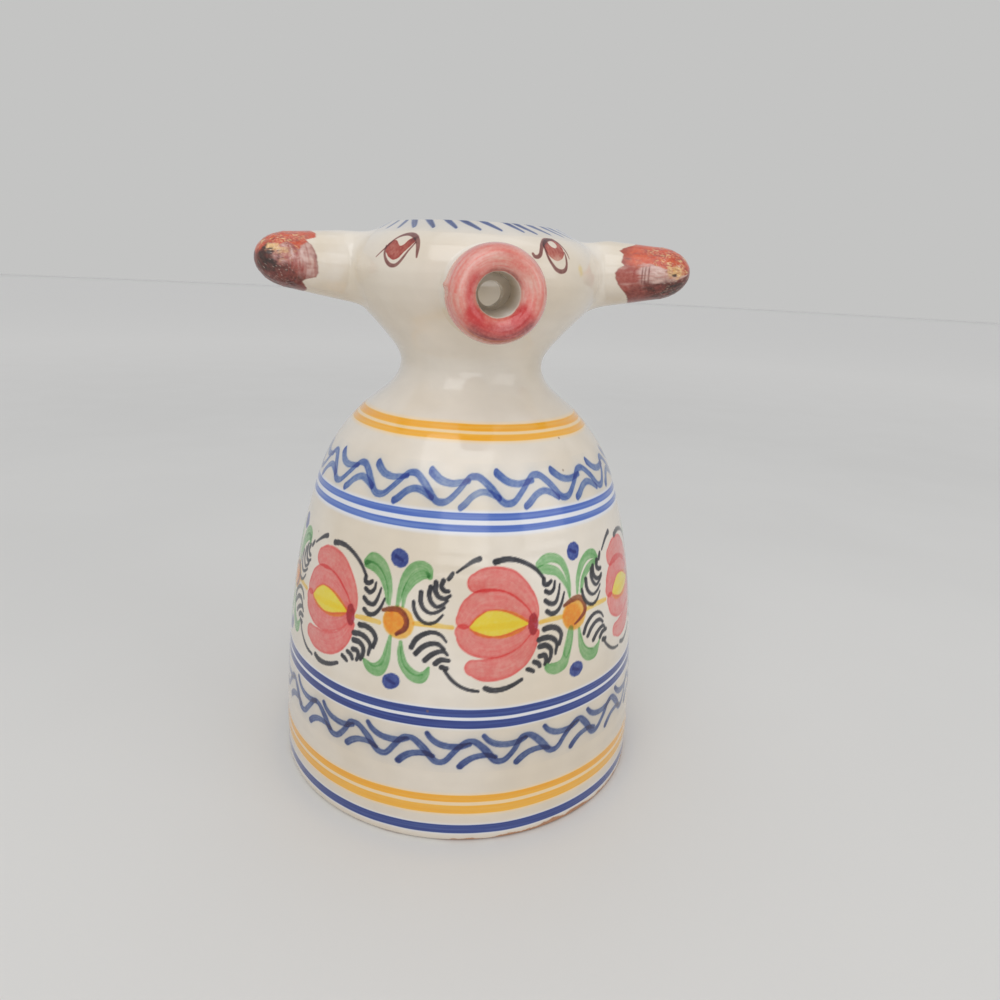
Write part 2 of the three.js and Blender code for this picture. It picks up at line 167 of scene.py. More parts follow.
# Eyes on the head: the name, width, lowest and highest level of each painted patch, on HEAD_SCALE.
EYES = (
    ("eye_right_painted", (-47.6, -23.6), 213.4, 231.2),
    ("eye_left_painted", (11.6, 33.8), 214.4, 231.6),
)
EYE_LINES = ("""
-43.9 219.9 .2,-41.9 221.7 .4,-39.8 223.9 .5,-38.2 225.9 .6,-36.4 227.3 .8,-34.4 228 1,-32 228.1 1.2,
-29.2 227.2 1.5,-27.3 225.6 1.5,-26.4 223.4 1.3,-26.2 221.6 .9,-26.1 220.2 .5
-40.5 223.8 .5,-40.3 222.1 .7,-39.5 220.2 .9,-38.2 218.4 1.2,-36.3 217.2 1.3,-34.3 217.2 1.1,-32.6 218.4 .9,
-31.1 220.3 .7,-29.9 222.3 .5,-28.7 224 .4,-28 225.2 .5
""", """
15 223.3 .9,15.5 222.5 1.1,16.7 222.4 1.2,17.9 223.2 1.2,18.9 224.9 1.2,20.3 226.7 1.3,22.9 228.3 1.3,
26.2 229.1 1.1,28.3 228.9 .8,29.5 228 .7,30.4 226.5 .5,31 224.7 .4,31.3 222.6 .2
20.8 226.3 .7,20.8 224.1 .8,21.3 222.1 .9,22.4 220.2 1.1,23.8 218.6 1.3,25.8 217.9 1.4,27.9 218.4 1.3,
29.1 220.1 .9,29.6 222.3 .7,29.8 224.6 .5
""")
IRISES = (
    "-39.9 222.1,-40.3 223.7,-39.6 224.9,-38.1 225.8,-36.6 225.7,-35.3 224.7,-34.1 223.9,-32.6 224.3,"
    "-31 226.2,-29.3 226.9,-28.3 226,-29.4 224.2,-31 222.4,-32.4 220.8,-33.6 219.6,-35.5 219.1,"
    "-37.5 219.9,-38.8 221",
    "20.6 226.8,22.4 228.3,25.2 229.2,28.1 229,29.4 227.6,29.8 225.8,29 223.8,27 222.1,24.7 221.5,22.7 222.3,"
    "21.3 223.6,20.7 225.1",
)
# Shade in each eye's corner; the glint of the left iris; the rim's dashes, on RIM_SCALE, and one dash.
EYE_CORNERS = ((-29.3, 226.3), (22.2, 227.6))
RUN_IN_GLAZE = (36.9, 218.7, 0.9, 1.6)  # middle and half axes of a faint ochre run beside the left horn
GLINT = "24 228,26.2 228.3,27.4 227.6,27.3 226.7,26.1 226,24.8 226.2,23.9 227"
DASHES = (-37.4, -31.6, -24.8, -18.3, -10.4, -3.1, 3.8, 11, 16.2, 22.2)
DASH = "-11.5 237 .9,-9 235.6 1.2,-6.6 234.3 1.3,-4.4 233.3 1.3,-2 232.1 1.1,-.6 231.3 .9,0 230.9 .7"


def linear(colour):
    """Scene-linear values of a colour written in the usual display numbers."""
    c = np.asarray(colour[:3], float)
    return np.where(c <= 0.04045, c / 12.92, ((c + 0.055) / 1.055) ** 2.4)


def rgb(text):
    return tuple(int(text[i : i + 2], 16) / 255 for i in (0, 2, 4))


def colour(name, description, code):
    return FloatVectorProperty(
        name=name, description=description, subtype="COLOR_GAMMA", size=3, min=0, max=1, default=rgb(code)
    )


def length(name, description, size):
    return FloatProperty(
        name=name, description=description, default=size / 1000, min=0, unit="LENGTH", precision=4
    )


class PitcherSizes(bpy.types.PropertyGroup):
    wall: length("Wall", "Thickness of the thrown wall", 6)
    lip: length("Lip", "Thickness of the rounded rim of the head", 5)
    floor: length("Floor", "Thickness of the bell's floor", 8)
    unevenness: length("Unevenness", "How far the thrown wall wanders from round", 0.16)
    throwing_rings: length("Throwing rings", "Height of the ridges left by the potter's fingers", 0.03)
    snout_height: length("Snout height", "Height of the middle of the snout", 209.2)
    snout_reach: length("Snout reach", "How far the snout's face stands off the head", 21.6)
    snout_radius: length("Snout radius", "Outer radius of the snout's ring", 17.4)
    bore_radius: length("Bore radius", "Radius of the hole in the snout", 7.3)
    pour_radius: length("Pour hole radius", "Radius of the hole through the head behind the snout", 4.5)
    horn_height: length("Horn height", "Height of the horns' roots", 216.5)
    horn_forward: length("Horn lean", "How far a horn's tip leans forward of the middle", 27.6)
    strap_reach: length("Handle reach", "How far the handle stands behind the middle", 77.5)
    strap_width: length("Handle width", "Width of the strap handle", 25)
    strap_thickness: length("Handle thickness", "Thickness of the strap handle", 9.2)


class PitcherColours(bpy.types.PropertyGroup):
    glaze: colour("Tin glaze", "White glaze over the whole pitcher", "e6ddd0")
    glaze_shade: colour("Pooled glaze", "Glaze where it lies thick", "dccfbb")
    clay: colour("Clay", "Bare fired clay at the foot and on worn edges", "b98a6a")
    light_blue: colour("Thin blue", "Blue of the upper border and rings", "687fb0")
    deep_blue: colour("Deep blue", "Blue of the lower border and rings", "2f437e")
    dot_blue: colour("Dot blue", "Blue of the dots in the frieze", "2c3f8c")
    ochre: colour("Ochre", "Yellow rings and stems", "f0b240")
    petal: colour("Petal", "Washed red of the flowers", "dd6e68")
    heart: colour("Heart", "Dark red blot at the end of a flower", "a8324a")
    yellow: colour("Yellow", "Eye of a flower", "f0d03c")
    leaf: colour("Leaf", "Green of the leaves", "77ab6e")
    line: colour("Line", "Black of the curled lines", "34343a")
    orange: colour("Knob", "Orange knob between two flowers", "f0982a")
    hook: colour("Hook", "Brown hook over a knob", "7d4024")
    eye: colour("Iris", "Red-brown of the bull's eyes", "a64a3e")
    eye_line: colour("Eye line", "Brown outline of the eyes", "74443f")
    snout: colour("Snout", "Thin red of the snout", "de8074")
    snout_deep: colour("Snout, thick", "Red where the brush left more on the snout", "c63c3a")
    # Partly painted shade: this mauve-brown also darkens the snout's underside and the top edge of its bore.
    snout_run_and_shade: colour("Snout, run", "Mauve-brown where the red has run", "8a4648")
    horn: colour("Horn", "Orange-red on top of the horns", "d0562f")
    # Partly painted sheen: besides the thin wash, this pale pink brightens the band between the orange top
    # and the brown underside of each horn.
    horn_thin: colour("Horn, thin", "Pale pink where the wash is thin", "d8b6ae")
    horn_mid: colour("Horn, brushed", "Brick red between the orange and the brown", "ab584e")
    horn_shade: colour("Horn, thick", "Red-brown on the underside of the horns", "783830")
    horn_tip: colour("Horn tip", "Dark brown where the oxide lies thick at the tips", "3c2822")
    crust: colour("Crust", "Bare and blistered clay at the horns' tips", "ecc48c")
    blue_bloom: colour("Blue bloom", "Cool white of the glaze between blue lines", "e2e6f2")
    ochre_bloom: colour("Ochre bloom", "Glaze between ochre lines", "f8d292")


class PitcherStage(bpy.types.PropertyGroup):
    lens: length("Lens", "Focal length of the camera on a 36 mm sensor", 25.2)
    key: FloatProperty(name="Key light", description="Power of the large lamp, in watts", default=9.0)
    fill: FloatProperty(name="Fill light", description="Power of the side lamp, in watts", default=2.2)
    sky: FloatProperty(name="Sky", description="Strength of the even light all round", default=0.62)
    floor: colour("Floor", "Colour of the studio floor", "dedcd8")
    floor_far: colour("Floor, far", "Colour of the studio floor away from the lamps", "f6f3ee")
    backdrop: colour("Backdrop", "Colour behind the studio floor", "c4c4c3")


# ---------------------------------------------------------------- lines and the thrown wall


def curve_through(points, per_span=24):
    """A smooth line through points, with its corners spread by the square root of their distance."""
    p = np.asarray(points, float)
    p = np.vstack([2 * p[0] - p[1], p, 2 * p[-1] - p[-2]])
    t = np.linspace(0, 1, per_span, endpoint=False)[:, None]
    made = []
    for i in range(1, len(p) - 2):
        a, b, c, d = p[i - 1 : i + 3]
        u, v, w = (max(np.linalg.norm(y - x), 1e-9) ** 0.5 for x, y in ((a, b), (b, c), (c, d)))
        m = v * ((b - a) / u - (c - a) / (u + v) + (c - b) / v)
        n = v * ((c - b) / v - (d - b) / (v + w) + (d - c) / w)
        made.append(hermite(t, b, m, c, n))
    return np.vstack([*made, p[-2][None]])


def hermite(t, a, m, b, n):
    return (
        (2 * t**3 - 3 * t**2 + 1) * a
        + (t**3 - 2 * t**2 + t) * m
        + (3 * t**2 - 2 * t**3) * b
        + (t**3 - t**2) * n
    )


def along(line):
    """Distance from the start to each point of a line."""
    return np.concatenate([[0], np.cumsum(np.linalg.norm(np.diff(line, axis=0), axis=1))])


def even(line, spacing, columns=2):
    """The line again with points at even distances, measured on its first columns."""
    d = along(line[:, :columns])
    places = np.linspace(0, d[-1], max(int(round(d[-1] / spacing)), 1) + 1)
    return np.column_stack([np.interp(places, d, c) for c in line.T])


def unit(v):
    """Each vector again, one long."""
    return v / np.linalg.norm(v, axis=-1, keepdims=True)


def turns(count, start=0.0):
    """Angles of columns round a circle, from a part of a turn."""
    return (np.arange(count) / count + start) * TAU


def smooth(x, low=0.0, high=1.0):
    t = np.clip((x - low) / (high - low), 0, 1)
    return t * t * (3 - 2 * t)


def over(x, soft):
    """1 where x is above 0 and 0 where it is below, with a soft step between."""
    return smooth(x / soft + 0.5)


def softened(line, reach):
    """The line with its curvature evened out over a reach in points, and its ends kept."""
    weights = np.exp(-0.5 * (np.arange(-3 * reach, 3 * reach + 1) / reach) ** 2)
    weights /= weights.sum()
    n = 3 * reach
    padded = np.vstack([2 * line[0] - line[n:0:-1], line, 2 * line[-1] - line[-2 : -n - 2 : -1]])
    return np.column_stack([np.convolve(c, weights, "valid") for c in padded.T])


LATTICE = np.random.default_rng(7).random((97, 97))


def ruffle(x, y, turn=0):
    """Smooth noise from 0 to 1 with features about one unit wide."""
    x, y = np.broadcast_arrays(np.asarray(x, float) + 13.7 * turn, np.asarray(y, float) + 5.3 * turn)
    i, j = np.floor(x).astype(int), np.floor(y).astype(int)
    u, v = smooth(x - i), smooth(y - j)
    at = lambda a, b: LATTICE[a % 97, b % 97]
    low = at(i, j) * (1 - u) + at(i + 1, j) * u
    high = at(i, j + 1) * (1 - u) + at(i + 1, j + 1) * u
    return low * (1 - v) + high * v


def grain(x, y, turn=0):
    """Smooth noise from -0.5 to 0.5."""
    return ruffle(x, y, turn) - 0.5


def blend(low, high, t):
    """A colour between two, for each t from 0 to 1."""
    return low + (high - low) * np.clip(t, 0, 1)[..., None]


def millimetres(*names):
    """Sizes from the panel, in millimetres."""
    return [getattr(bpy.context.scene.pitcher_sizes, name) * 1000 for name in names]


class Profile:
    """The outside of a thrown wall: a line of radius and height, with a level for the painter."""

    def __init__(self, line, level=None):
        self.line, self.run = line, along(line)
        way = unit(np.gradient(line, axis=0))
        self.normal = np.column_stack([way[:, 1], -way[:, 0]])
        self.level = line[:, 1] if level is None else level

    def at(self, place):
        """Points and outward normals at distances along the line."""
        both = (self.line, self.normal)
        return [np.column_stack([np.interp(place, self.run, c) for c in v.T]) for v in both]

    def place(self, level):
        return np.interp(level, self.level, self.run)


WALL = Profile(softened(even(curve_through(STATIONS), 0.25), 10))


def radius_at(height):
    return np.interp(height, WALL.line[:, 1], WALL.line[:, 0])


def wander(angle, height):
    """How far the thrown wall stands out from its round profile."""
    s = bpy.context.scene.pitcher_sizes
    slow = (
        np.sin(2 * angle + 1.3 + height / 60)
        + 0.6 * np.sin(3 * angle - 0.7 - height / 45)
        + 0.7 * np.sin(angle + height / 38 + 2)
    )
    rings = np.sin(TAU * height / 5.6 + angle + 1.4 * np.sin(height / 17 + 0.6 * np.sin(2 * angle)))
    fade = smooth(height, 2, 14)
    return 1000 * (s.unevenness * slow + s.throwing_rings * rings * fade)


def on_wall(angle, place, lift=0.0, profile=WALL):
    """A point on the outside of the wall at a distance along its profile, lifted."""
    r, z, nr, nz = (np.interp(place, profile.run, v) for v in (*profile.line.T, *profile.normal.T))
    r = r + wander(angle, z) + lift * nr
    z = z + lift * nz
    return np.stack(np.broadcast_arrays(r * np.sin(angle), -r * np.cos(angle), z), -1)


def rim_profile(lip):
    """The top of the head's wall, over the round lip and a little way down inside."""
    wall = WALL.line[WALL.line[:, 1] > 215]
    out = WALL.normal[-1]
    way = np.array([-out[1], out[0]])
    turn = np.linspace(0, math.pi, 30)[1:, None]
    arc = wall[-1] - out * lip / 2 + lip / 2 * (out * np.cos(turn) + way * np.sin(turn))
    within = arc[-1] - way * np.arange(0.3, 4, 0.3)[:, None]
    line = np.vstack([wall, arc, within])
    level = np.concatenate([wall[:, 1], RIM + along(line)[len(wall):] - along(line)[len(wall) - 1]])
    return Profile(line, level)


def revolved(profile, columns):
    """Rings of points from rows of radius and height, with the wall's wandering."""
    angle = turns(columns, -0.5)
    r, z = np.asarray(profile, float).T[:, :, None]
    r = r + wander(angle[None], z) * np.clip(r / 30, 0, 1)
    return np.stack(np.broadcast_arrays(r * np.sin(angle), -r * np.cos(angle), z), -1)


# ---------------------------------------------------------------- meshes


def shell(name, rings, poles=(), film=None, material=None, looped=False, arc=False):
    """A closed mesh over rings of points, ended by poles or by its own first ring. An arc has flat ends."""
    rings = np.asarray(rings, float)
    m, n = rings.shape[:2]
    co = np.vstack([rings.reshape(-1, 3), *[np.asarray(p, float)[None] for p in poles]])
    i = np.arange(m if looped else m - 1)[:, None] * n
    j = np.arange(n - 1 if arc else n)[None]
    a, b = i + j, i + (j + 1) % n
    quads = np.stack([a, b, (b + n) % (m * n), (a + n) % (m * n)], -1).reshape(-1, 4)
    tris = np.zeros((0, 3), int)
    if poles:
        j, k = np.arange(n), (np.arange(n) + 1) % n
        last = (m - 1) * n
        tris = np.vstack([
            np.column_stack([np.full(n, m * n), k, j]),
            np.column_stack([np.full(n, m * n + 1), last + j, last + k]),
        ])
    p = [co[quads[:, c]] for c in range(4)]
    volume = (np.cross(p[0], p[1]) * p[2]).sum() + (np.cross(p[0], p[2]) * p[3]).sum()
    ends = [np.arange(m) * n, np.arange(m)[::-1] * n + n - 1] if arc else []
    if volume < 0:
        quads, tris, ends = quads[:, ::-1], tris[:, ::-1], [e[::-1] for e in ends]
    corners = np.concatenate([quads.ravel(), tris.ravel(), *ends])
    sizes = [4] * len(quads) + [3] * len(tris) + [m] * len(ends)
    starts = np.concatenate([[0], np.cumsum(sizes)[:-1]])
    mesh = bpy.data.meshes.new(name)
    mesh.vertices.add(len(co))
    mesh.vertices.foreach_set("co", (co / 1000).astype(np.float32).ravel())
    mesh.loops.add(len(corners))
    mesh.loops.foreach_set("vertex_index", corners.astype(np.int32))
    mesh.polygons.add(len(starts))
    mesh.polygons.foreach_set("loop_start", starts.astype(np.int32))
    mesh.update(calc_edges=True)
    if mesh.validate():
        raise RuntimeError(f"{name}: the mesh had faults")
    mesh.shade_smooth()
    piece = bpy.data.objects.new(name, mesh)
    bpy.context.scene.collection.objects.link(piece)
    if film is not None:
        ends = [film[k].mean(0) for k in (0, -1)] if poles else []
        store_film(mesh, np.vstack([film.reshape(-1, 3), *ends]))
    if material:
        mesh.materials.append(material)
    return piece


def store_film(mesh, film):
    """Keeps the brushed colours on the mesh's points, white where no brush went."""
    values = np.ones((len(mesh.vertices), 4), np.float32)
    values[: len(film), :3] = film
    mesh.color_attributes.new("paint", "FLOAT_COLOR", "POINT").data.foreach_set("color", values.ravel())


def bored(piece, cuts):
    """Cuts round holes, each a start, an end and a radius, right through the piece."""
    for start, end, radius in cuts:
        start, end = np.asarray(start, float), np.asarray(end, float)
        axis = unit(end - start)
        side = unit(np.cross(axis, (0, 0, 1.0)))
        turn = turns(64)
        ring = radius * (np.cos(turn)[:, None] * side + np.sin(turn)[:, None] * np.cross(axis, side))
        drill = shell("drill", np.stack([start + ring, end + ring]), (start, end))
        cut = piece.modifiers.new("bore", "BOOLEAN")
        cut.operation, cut.solver, cut.object = "DIFFERENCE", "EXACT", drill
        evaluated = piece.evaluated_get(bpy.context.evaluated_depsgraph_get())
        made = bpy.data.meshes.new_from_object(evaluated)
        piece.modifiers.clear()
        piece.data = made
        bpy.data.objects.remove(drill)
    piece.data.set_sharp_from_angle(angle=math.radians(50))


def hand_over(piece, slot, *nodes):
    """Attaches a piece to the root body and hides the CAD nodes that it stands for. The slot is not used."""
    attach(piece, "root")
    if nodes:
        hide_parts(*nodes)


# ---------------------------------------------------------------- brushes


def ink(seen, glaze):
    """How strongly a colour, as seen on the glaze, takes each part of the light away."""
    return -np.log(np.clip(linear(seen) / linear(glaze), 0.004, 1))


def levels(profile, start, stop, rows):
    """The painter's levels of rows at even distances along a profile."""
    return np.interp(np.linspace(start, stop, rows), profile.run, profile.level)


class Wash:
    """A film of paint over a grid: columns run round the wall and rows climb it."""

    def __init__(self, angles, heights, scale):
        self.angles, self.heights = angles, np.asarray(heights, float)
        self.columns, self.start, self.step = len(angles), angles[0] * scale, (angles[1] - angles[0]) * scale
        self.round = abs(len(angles) * (angles[1] - angles[0]) - TAU) < 1e-6
        self.film = np.ones((len(heights), len(angles), 3))

    def window(self, low, high):
        """The rows and columns between two corners, with their places."""
        first, last = (int((x - self.start) / self.step) for x in (low[0], high[0]))
        columns = np.arange(first - 1, last + 2)
        if not self.round:
            columns = columns[(columns >= 0) & (columns < self.columns)]
        rows = np.flatnonzero((self.heights >= low[1]) & (self.heights <= high[1]))
        across, height = np.meshgrid(self.start + columns * self.step, self.heights[rows])
        return rows, columns % self.columns, across, height

    def lay(self, rows, columns, density, paint):
        """Lets the paint take its light away where it lies."""
        self.film[np.ix_(rows, columns)] *= np.exp(-density[..., None] * paint)

    def nearest(self, line, across, height):
        """Distance to the line, distance along it, side and width at the nearest place."""
        best = np.full(across.shape, 1e9)
        place, side, width = (np.zeros(across.shape) for _ in range(3))
        run = along(line[:, :2])
        for k in range(len(line) - 1):
            a, b = line[k, :2], line[k + 1, :2]
            d = b - a
            t = np.clip(((across - a[0]) * d[0] + (height - a[1]) * d[1]) / max(d @ d, 1e-9), 0, 1)
            x, y = across - a[0] - t * d[0], height - a[1] - t * d[1]
            gap = np.hypot(x, y)
            near = gap < best
            best = np.where(near, gap, best)
            place = np.where(near, run[k] + t * (run[k + 1] - run[k]), place)
            side = np.where(near, np.sign(d[0] * y - d[1] * x), side)
            width = np.where(near, line[k, 2] + t * (line[k + 1, 2] - line[k, 2]), width)
        return best, place, side, width, run[-1]

    def brushed(
        self, line, across, height, load=1, edge=0.3, start=0.3, end=0.3, streak=0.3, ragged=0.1, soft=0.6
    ):
        """Density of paint left by a brush drawn along a line of places and widths."""
        gap, place, side, width, total = self.nearest(line, across, height)
        seed = line[0, 0] * 0.37 + line[0, 1] * 0.11
        rough = 1 + ragged * 2 * grain(place / 1.3, side * 3 + seed)
        half = np.maximum(width / 2 * rough, 0.05)
        cover = over(half - gap, soft)
        q = np.clip(gap / half, 0, 1)
        hairs = grain(side * gap / 0.55 + 40, place / 9 + seed)
        hairs += 0.6 * grain(side * gap / 0.25 + 40, place / 5 + seed, 3)
        body = 1 + edge * smooth(q, 0.68, 1) + streak * 2 * hairs
        body += end * np.exp(-(total - place) / 2.2) + start * np.exp(-place / 2.2)
        body += 0.22 * grain(across / 3.1, height / 3.1, 5)
        return cover * np.clip(body, 0.15, 3) * load, gap - half

    def stroke(self, points, paint, spacing=0.6, bleed=0.0, **how):
        """One stroke, with a faint bleed of its ink into the glaze round it."""
        line = even(curve_through(points, 12), spacing)
        reach = line[:, 2].max() / 2 + (5 if bleed else 1.2)
        rows, columns, across, height = self.window(line[:, :2].min(0) - reach, line[:, :2].max(0) + reach)
        if not len(rows) or not len(columns):
            return
        density, outside = self.brushed(line, across, height, **how)
        if bleed:
            density = np.maximum(density, bleed * np.exp(-np.maximum(outside, 0) / 1.6))
        self.lay(rows, columns, density, paint)

    def blot(self, outline, paint, load=1.0, edge=0.25, soft=0.6, ragged=0.35, mottle=0.3):
        """Fills a closed outline, rounded where it turns."""
        line = curve_through(np.vstack([outline[-2:], outline, outline[:3]]), 4)[8:-8]
        line = np.column_stack([line, np.ones(len(line))])
        rows, columns, across, height = self.window(line[:, :2].min(0) - 1.5, line[:, :2].max(0) + 1.5)
        gap = self.nearest(line, across, height)[0]
        inside = np.zeros(across.shape, bool)
        for (x0, y0), (x1, y1) in zip(line[:-1, :2], line[1:, :2]):
            if y0 != y1:
                left = across < (x1 - x0) * (height - y0) / (y1 - y0) + x0
                inside ^= ((y0 > height) != (y1 > height)) & left
        depth = np.where(inside, gap, -gap) + ragged * grain(across / 0.9, height / 0.9, 9)
        body = 1 + edge * np.exp(-np.maximum(depth, 0) / 0.5)
        body += mottle * 2 * grain(across / 0.7, height / 0.7, 4)
        self.lay(rows, columns, over(depth, soft) * np.clip(body, 0.2, 3) * load, paint)


def points_of(text):
    return np.array([[float(v) for v in p.split()] for p in text.split(",")])


def strokes_of(block):
    """The strokes of a block of text, one to a line. A line that ends with a comma goes on in the next."""
    return [points_of(line) for line in block.strip().replace(",\n", ",").split("\n")]


def ellipse(x, y, a, b, lean=0.0):
    t = np.linspace(0, TAU, 14, endpoint=False)
    u, v = a * np.cos(t), b * np.sin(t)
    c, s = math.cos(lean), math.sin(lean)
    return np.column_stack([x + u * c - v * s, y + u * s + v * c])


# How each brush is loaded and how its strokes or its filled shapes come out.
BRUSH = {
    "petal": dict(edge=0.5, start=0, end=0.5, streak=0.12, ragged=0.015, load=0.8),
    "flower_eye": dict(edge=0.12, mottle=0.08, ragged=0.15, load=0.95),
    "flower_eye_wash": dict(edge=0, streak=0.3, load=0.6, soft=1.2),
    "heart": dict(edge=0.3, ragged=0.4, load=0.85, mottle=0.15),
    "line": dict(edge=0.1, start=0.1, end=0.1, streak=0.1, ragged=0.03, soft=0.5, load=1),
    "stem": dict(load=0.6, edge=0.1, bleed=0.04),
    "leaf": dict(edge=0.5, start=0, end=0.5, streak=0.2, ragged=0.03, load=0.8),
    "vein": dict(edge=0, start=0, end=0, streak=0.2, load=0.55, soft=0.5),
    "knob": dict(edge=0.1, load=0.62, ragged=0.3, soft=1.0, mottle=0.1),
    "knob_middle": dict(edge=0, load=0.5, ragged=0.4, soft=1.6, mottle=0.15),
    "hook": dict(edge=0.3, start=0.2, end=0.3, load=0.8, ragged=0.04),
    "dot": dict(edge=0.3, ragged=0.3, mottle=0.15, load=0.85),
    "dot_middle": dict(load=0.4, ragged=0),
    "wave": dict(edge=0.35, start=0, end=0, streak=0.2, ragged=0.03, load=0.92),
    "branch": dict(edge=0.35, start=0.6, end=0.4, streak=0.2, ragged=0.03, load=0.8, bleed=0.05),
    "run_in_glaze": dict(load=0.3, edge=0, soft=2.2, ragged=0.3),
    "iris": dict(load=0.85, edge=0.5, mottle=0.25, ragged=0.1, soft=0.35),
    "glint": dict(load=3, edge=0, mottle=0, ragged=0.05, soft=0.35),
    "lid": dict(spacing=0.3, edge=0.35, start=0, end=0.1, streak=0.1, ragged=0.02, soft=0.45, load=0.85),
    "eye_corner": dict(load=0.3, edge=0, soft=1.4, ragged=0.1),
    "dash": dict(load=0.95, edge=0.2, start=0.2, end=0.1, bleed=0.04, soft=0.5, ragged=0.03),
}


class Hand:
    """The painter's hand: the same motif again and again, never quite alike."""

    def __init__(self, wash, seed, shake=1.0):
        self.wash, self.shake = wash, shake
        self.random = np.random.default_rng(seed)

    def moved(self, points, shift, about):
        """The points shifted, with the hand's small turn, slip and change of width."""
        r, k = self.random, self.shake
        turn = math.radians(2.0 * k * r.standard_normal())
        p = points.copy()
        d = p[:, :2] - about
        p[:, 0] = about[0] + d[:, 0] * math.cos(turn) - d[:, 1] * math.sin(turn)
        p[:, 1] = about[1] + d[:, 0] * math.sin(turn) + d[:, 1] * math.cos(turn)
        p[:, :2] += 0.35 * k * r.standard_normal(2) + shift
        p[:, 2] *= 1 + 0.06 * k * r.standard_normal()
        return p

    def strokes(self, block, shift, paint, brush):
        for points in strokes_of(block):
            points = self.moved(points, shift, points[:, :2].mean(0))
            load = BRUSH[brush]["load"] * (1 + 0.07 * self.shake * self.random.standard_normal())
            self.wash.stroke(points, paint, **{**BRUSH[brush], "load": load})


def paint_flower(hand, at, inks):
    shift = np.array(at) - (FLOWER_AT, 0)
    hand.strokes(PETALS, shift, inks["petal"], "petal")
    wash = hand.wash
    wash.blot(points_of(FLOWER_EYE) + shift, inks["yellow"], **BRUSH["flower_eye"])
    wash.stroke(points_of(FLOWER_EYE_WASH) + (*shift, 0), inks["yellow"], **BRUSH["flower_eye_wash"])
    heart = ellipse(HEART[0] + shift[0], HEART[1] + shift[1], *HEART[2:], 0.1 * hand.random.standard_normal())
    wash.blot(heart, inks["heart"], **BRUSH["heart"])
    hand.strokes(LINES, shift, inks["line"], "line")
    hand.strokes(STEMS, shift, inks["ochre"], "stem")


def paint_knob(hand, kind, at, inks):
    shift = np.array(at) - (KNOB_AT[kind], 0)
    hand.strokes(LEAVES[kind], shift, inks["leaf"], "leaf")
    hand.strokes(VEINS[kind], shift, inks["leaf"], "vein")
    wash = hand.wash
    x, height = at[0], at[1] + KNOB_HEIGHT
    lean = 0.1 * hand.random.standard_normal()
    wash.blot(ellipse(x, height, 6.6, 6.1, lean), inks["orange"], **BRUSH["knob"])
    wash.blot(ellipse(x - 1.5, height, 4.9, 4.8, lean), inks["orange"], **BRUSH["knob_middle"])
    hand.strokes(HOOKS[kind], shift, inks["hook"], "hook")
    for u, v, a, b in points_of(DOTS[kind]):
        u, v = np.array([u, v]) + shift + 0.25 * hand.shake * hand.random.standard_normal(2)
        dot = ellipse(u, v, a, b, 0.3 * hand.random.standard_normal())
        wash.blot(dot, inks["dot_blue"], **BRUSH["dot"])
        middle = np.array([(u - 1.6, v + 0.5, 1.4), (u + 1.4, v - 0.7, 1.1)])
        wash.stroke(middle, inks["dot_blue"], **BRUSH["dot_middle"])


def paint_border(wash, paint, branches, waves, crest, trough, first, seed, width=2.7):
    """A wavy line all the way round, with a branch over each hollow and one under each crest."""
    hand = Hand(wash, seed, 0.9)
    period = TAU * BELL_SCALE / waves
    jitter = 0.5 * hand.random.standard_normal((waves, 4))
    knots = []
    for k, j in enumerate(jitter):
        for part, drop, wide in WAVE:
            lean = np.interp(part, (-0.08, 0.5, 0.92), (j[0], j[2], j[0]))
            level = crest + (trough - crest) * drop + 0.35 * np.interp(part, (0, 0.5), (j[1], j[3]))
            knots.append((first + (k + part) * period + lean, level, width * wide))
    knots = np.array(knots)
    turn = np.array([waves * period, 0, 0])
    line = even(curve_through(np.vstack([knots[-3:] - turn, knots, knots[:4] + turn]), 6), 0.6)
    total = np.zeros(wash.film.shape[:2])
    for k in range(waves):
        low, high = (knots[1, 0] + n * period for n in (k, k + 1))
        part = line[(line[:, 0] > low - 4) & (line[:, 0] < high + 4)]
        rows, columns, across, height = wash.window((low - 3, trough - 5), (high + 3, crest + 5))
        density, outside = wash.brushed(part, across, height, **BRUSH["wave"])
        density = np.maximum(density, 0.07 * np.exp(-np.maximum(outside, 0) / 1.8))
        box = np.ix_(rows, columns)
        total[box] = np.maximum(total[box], density)
    wash.film *= np.exp(-total[..., None] * paint)
    for k in range(waves):
        hand.strokes(branches, (knots[len(WAVE) * k + 1, 0], 0), paint, "branch")


# ---------------------------------------------------------------- materials


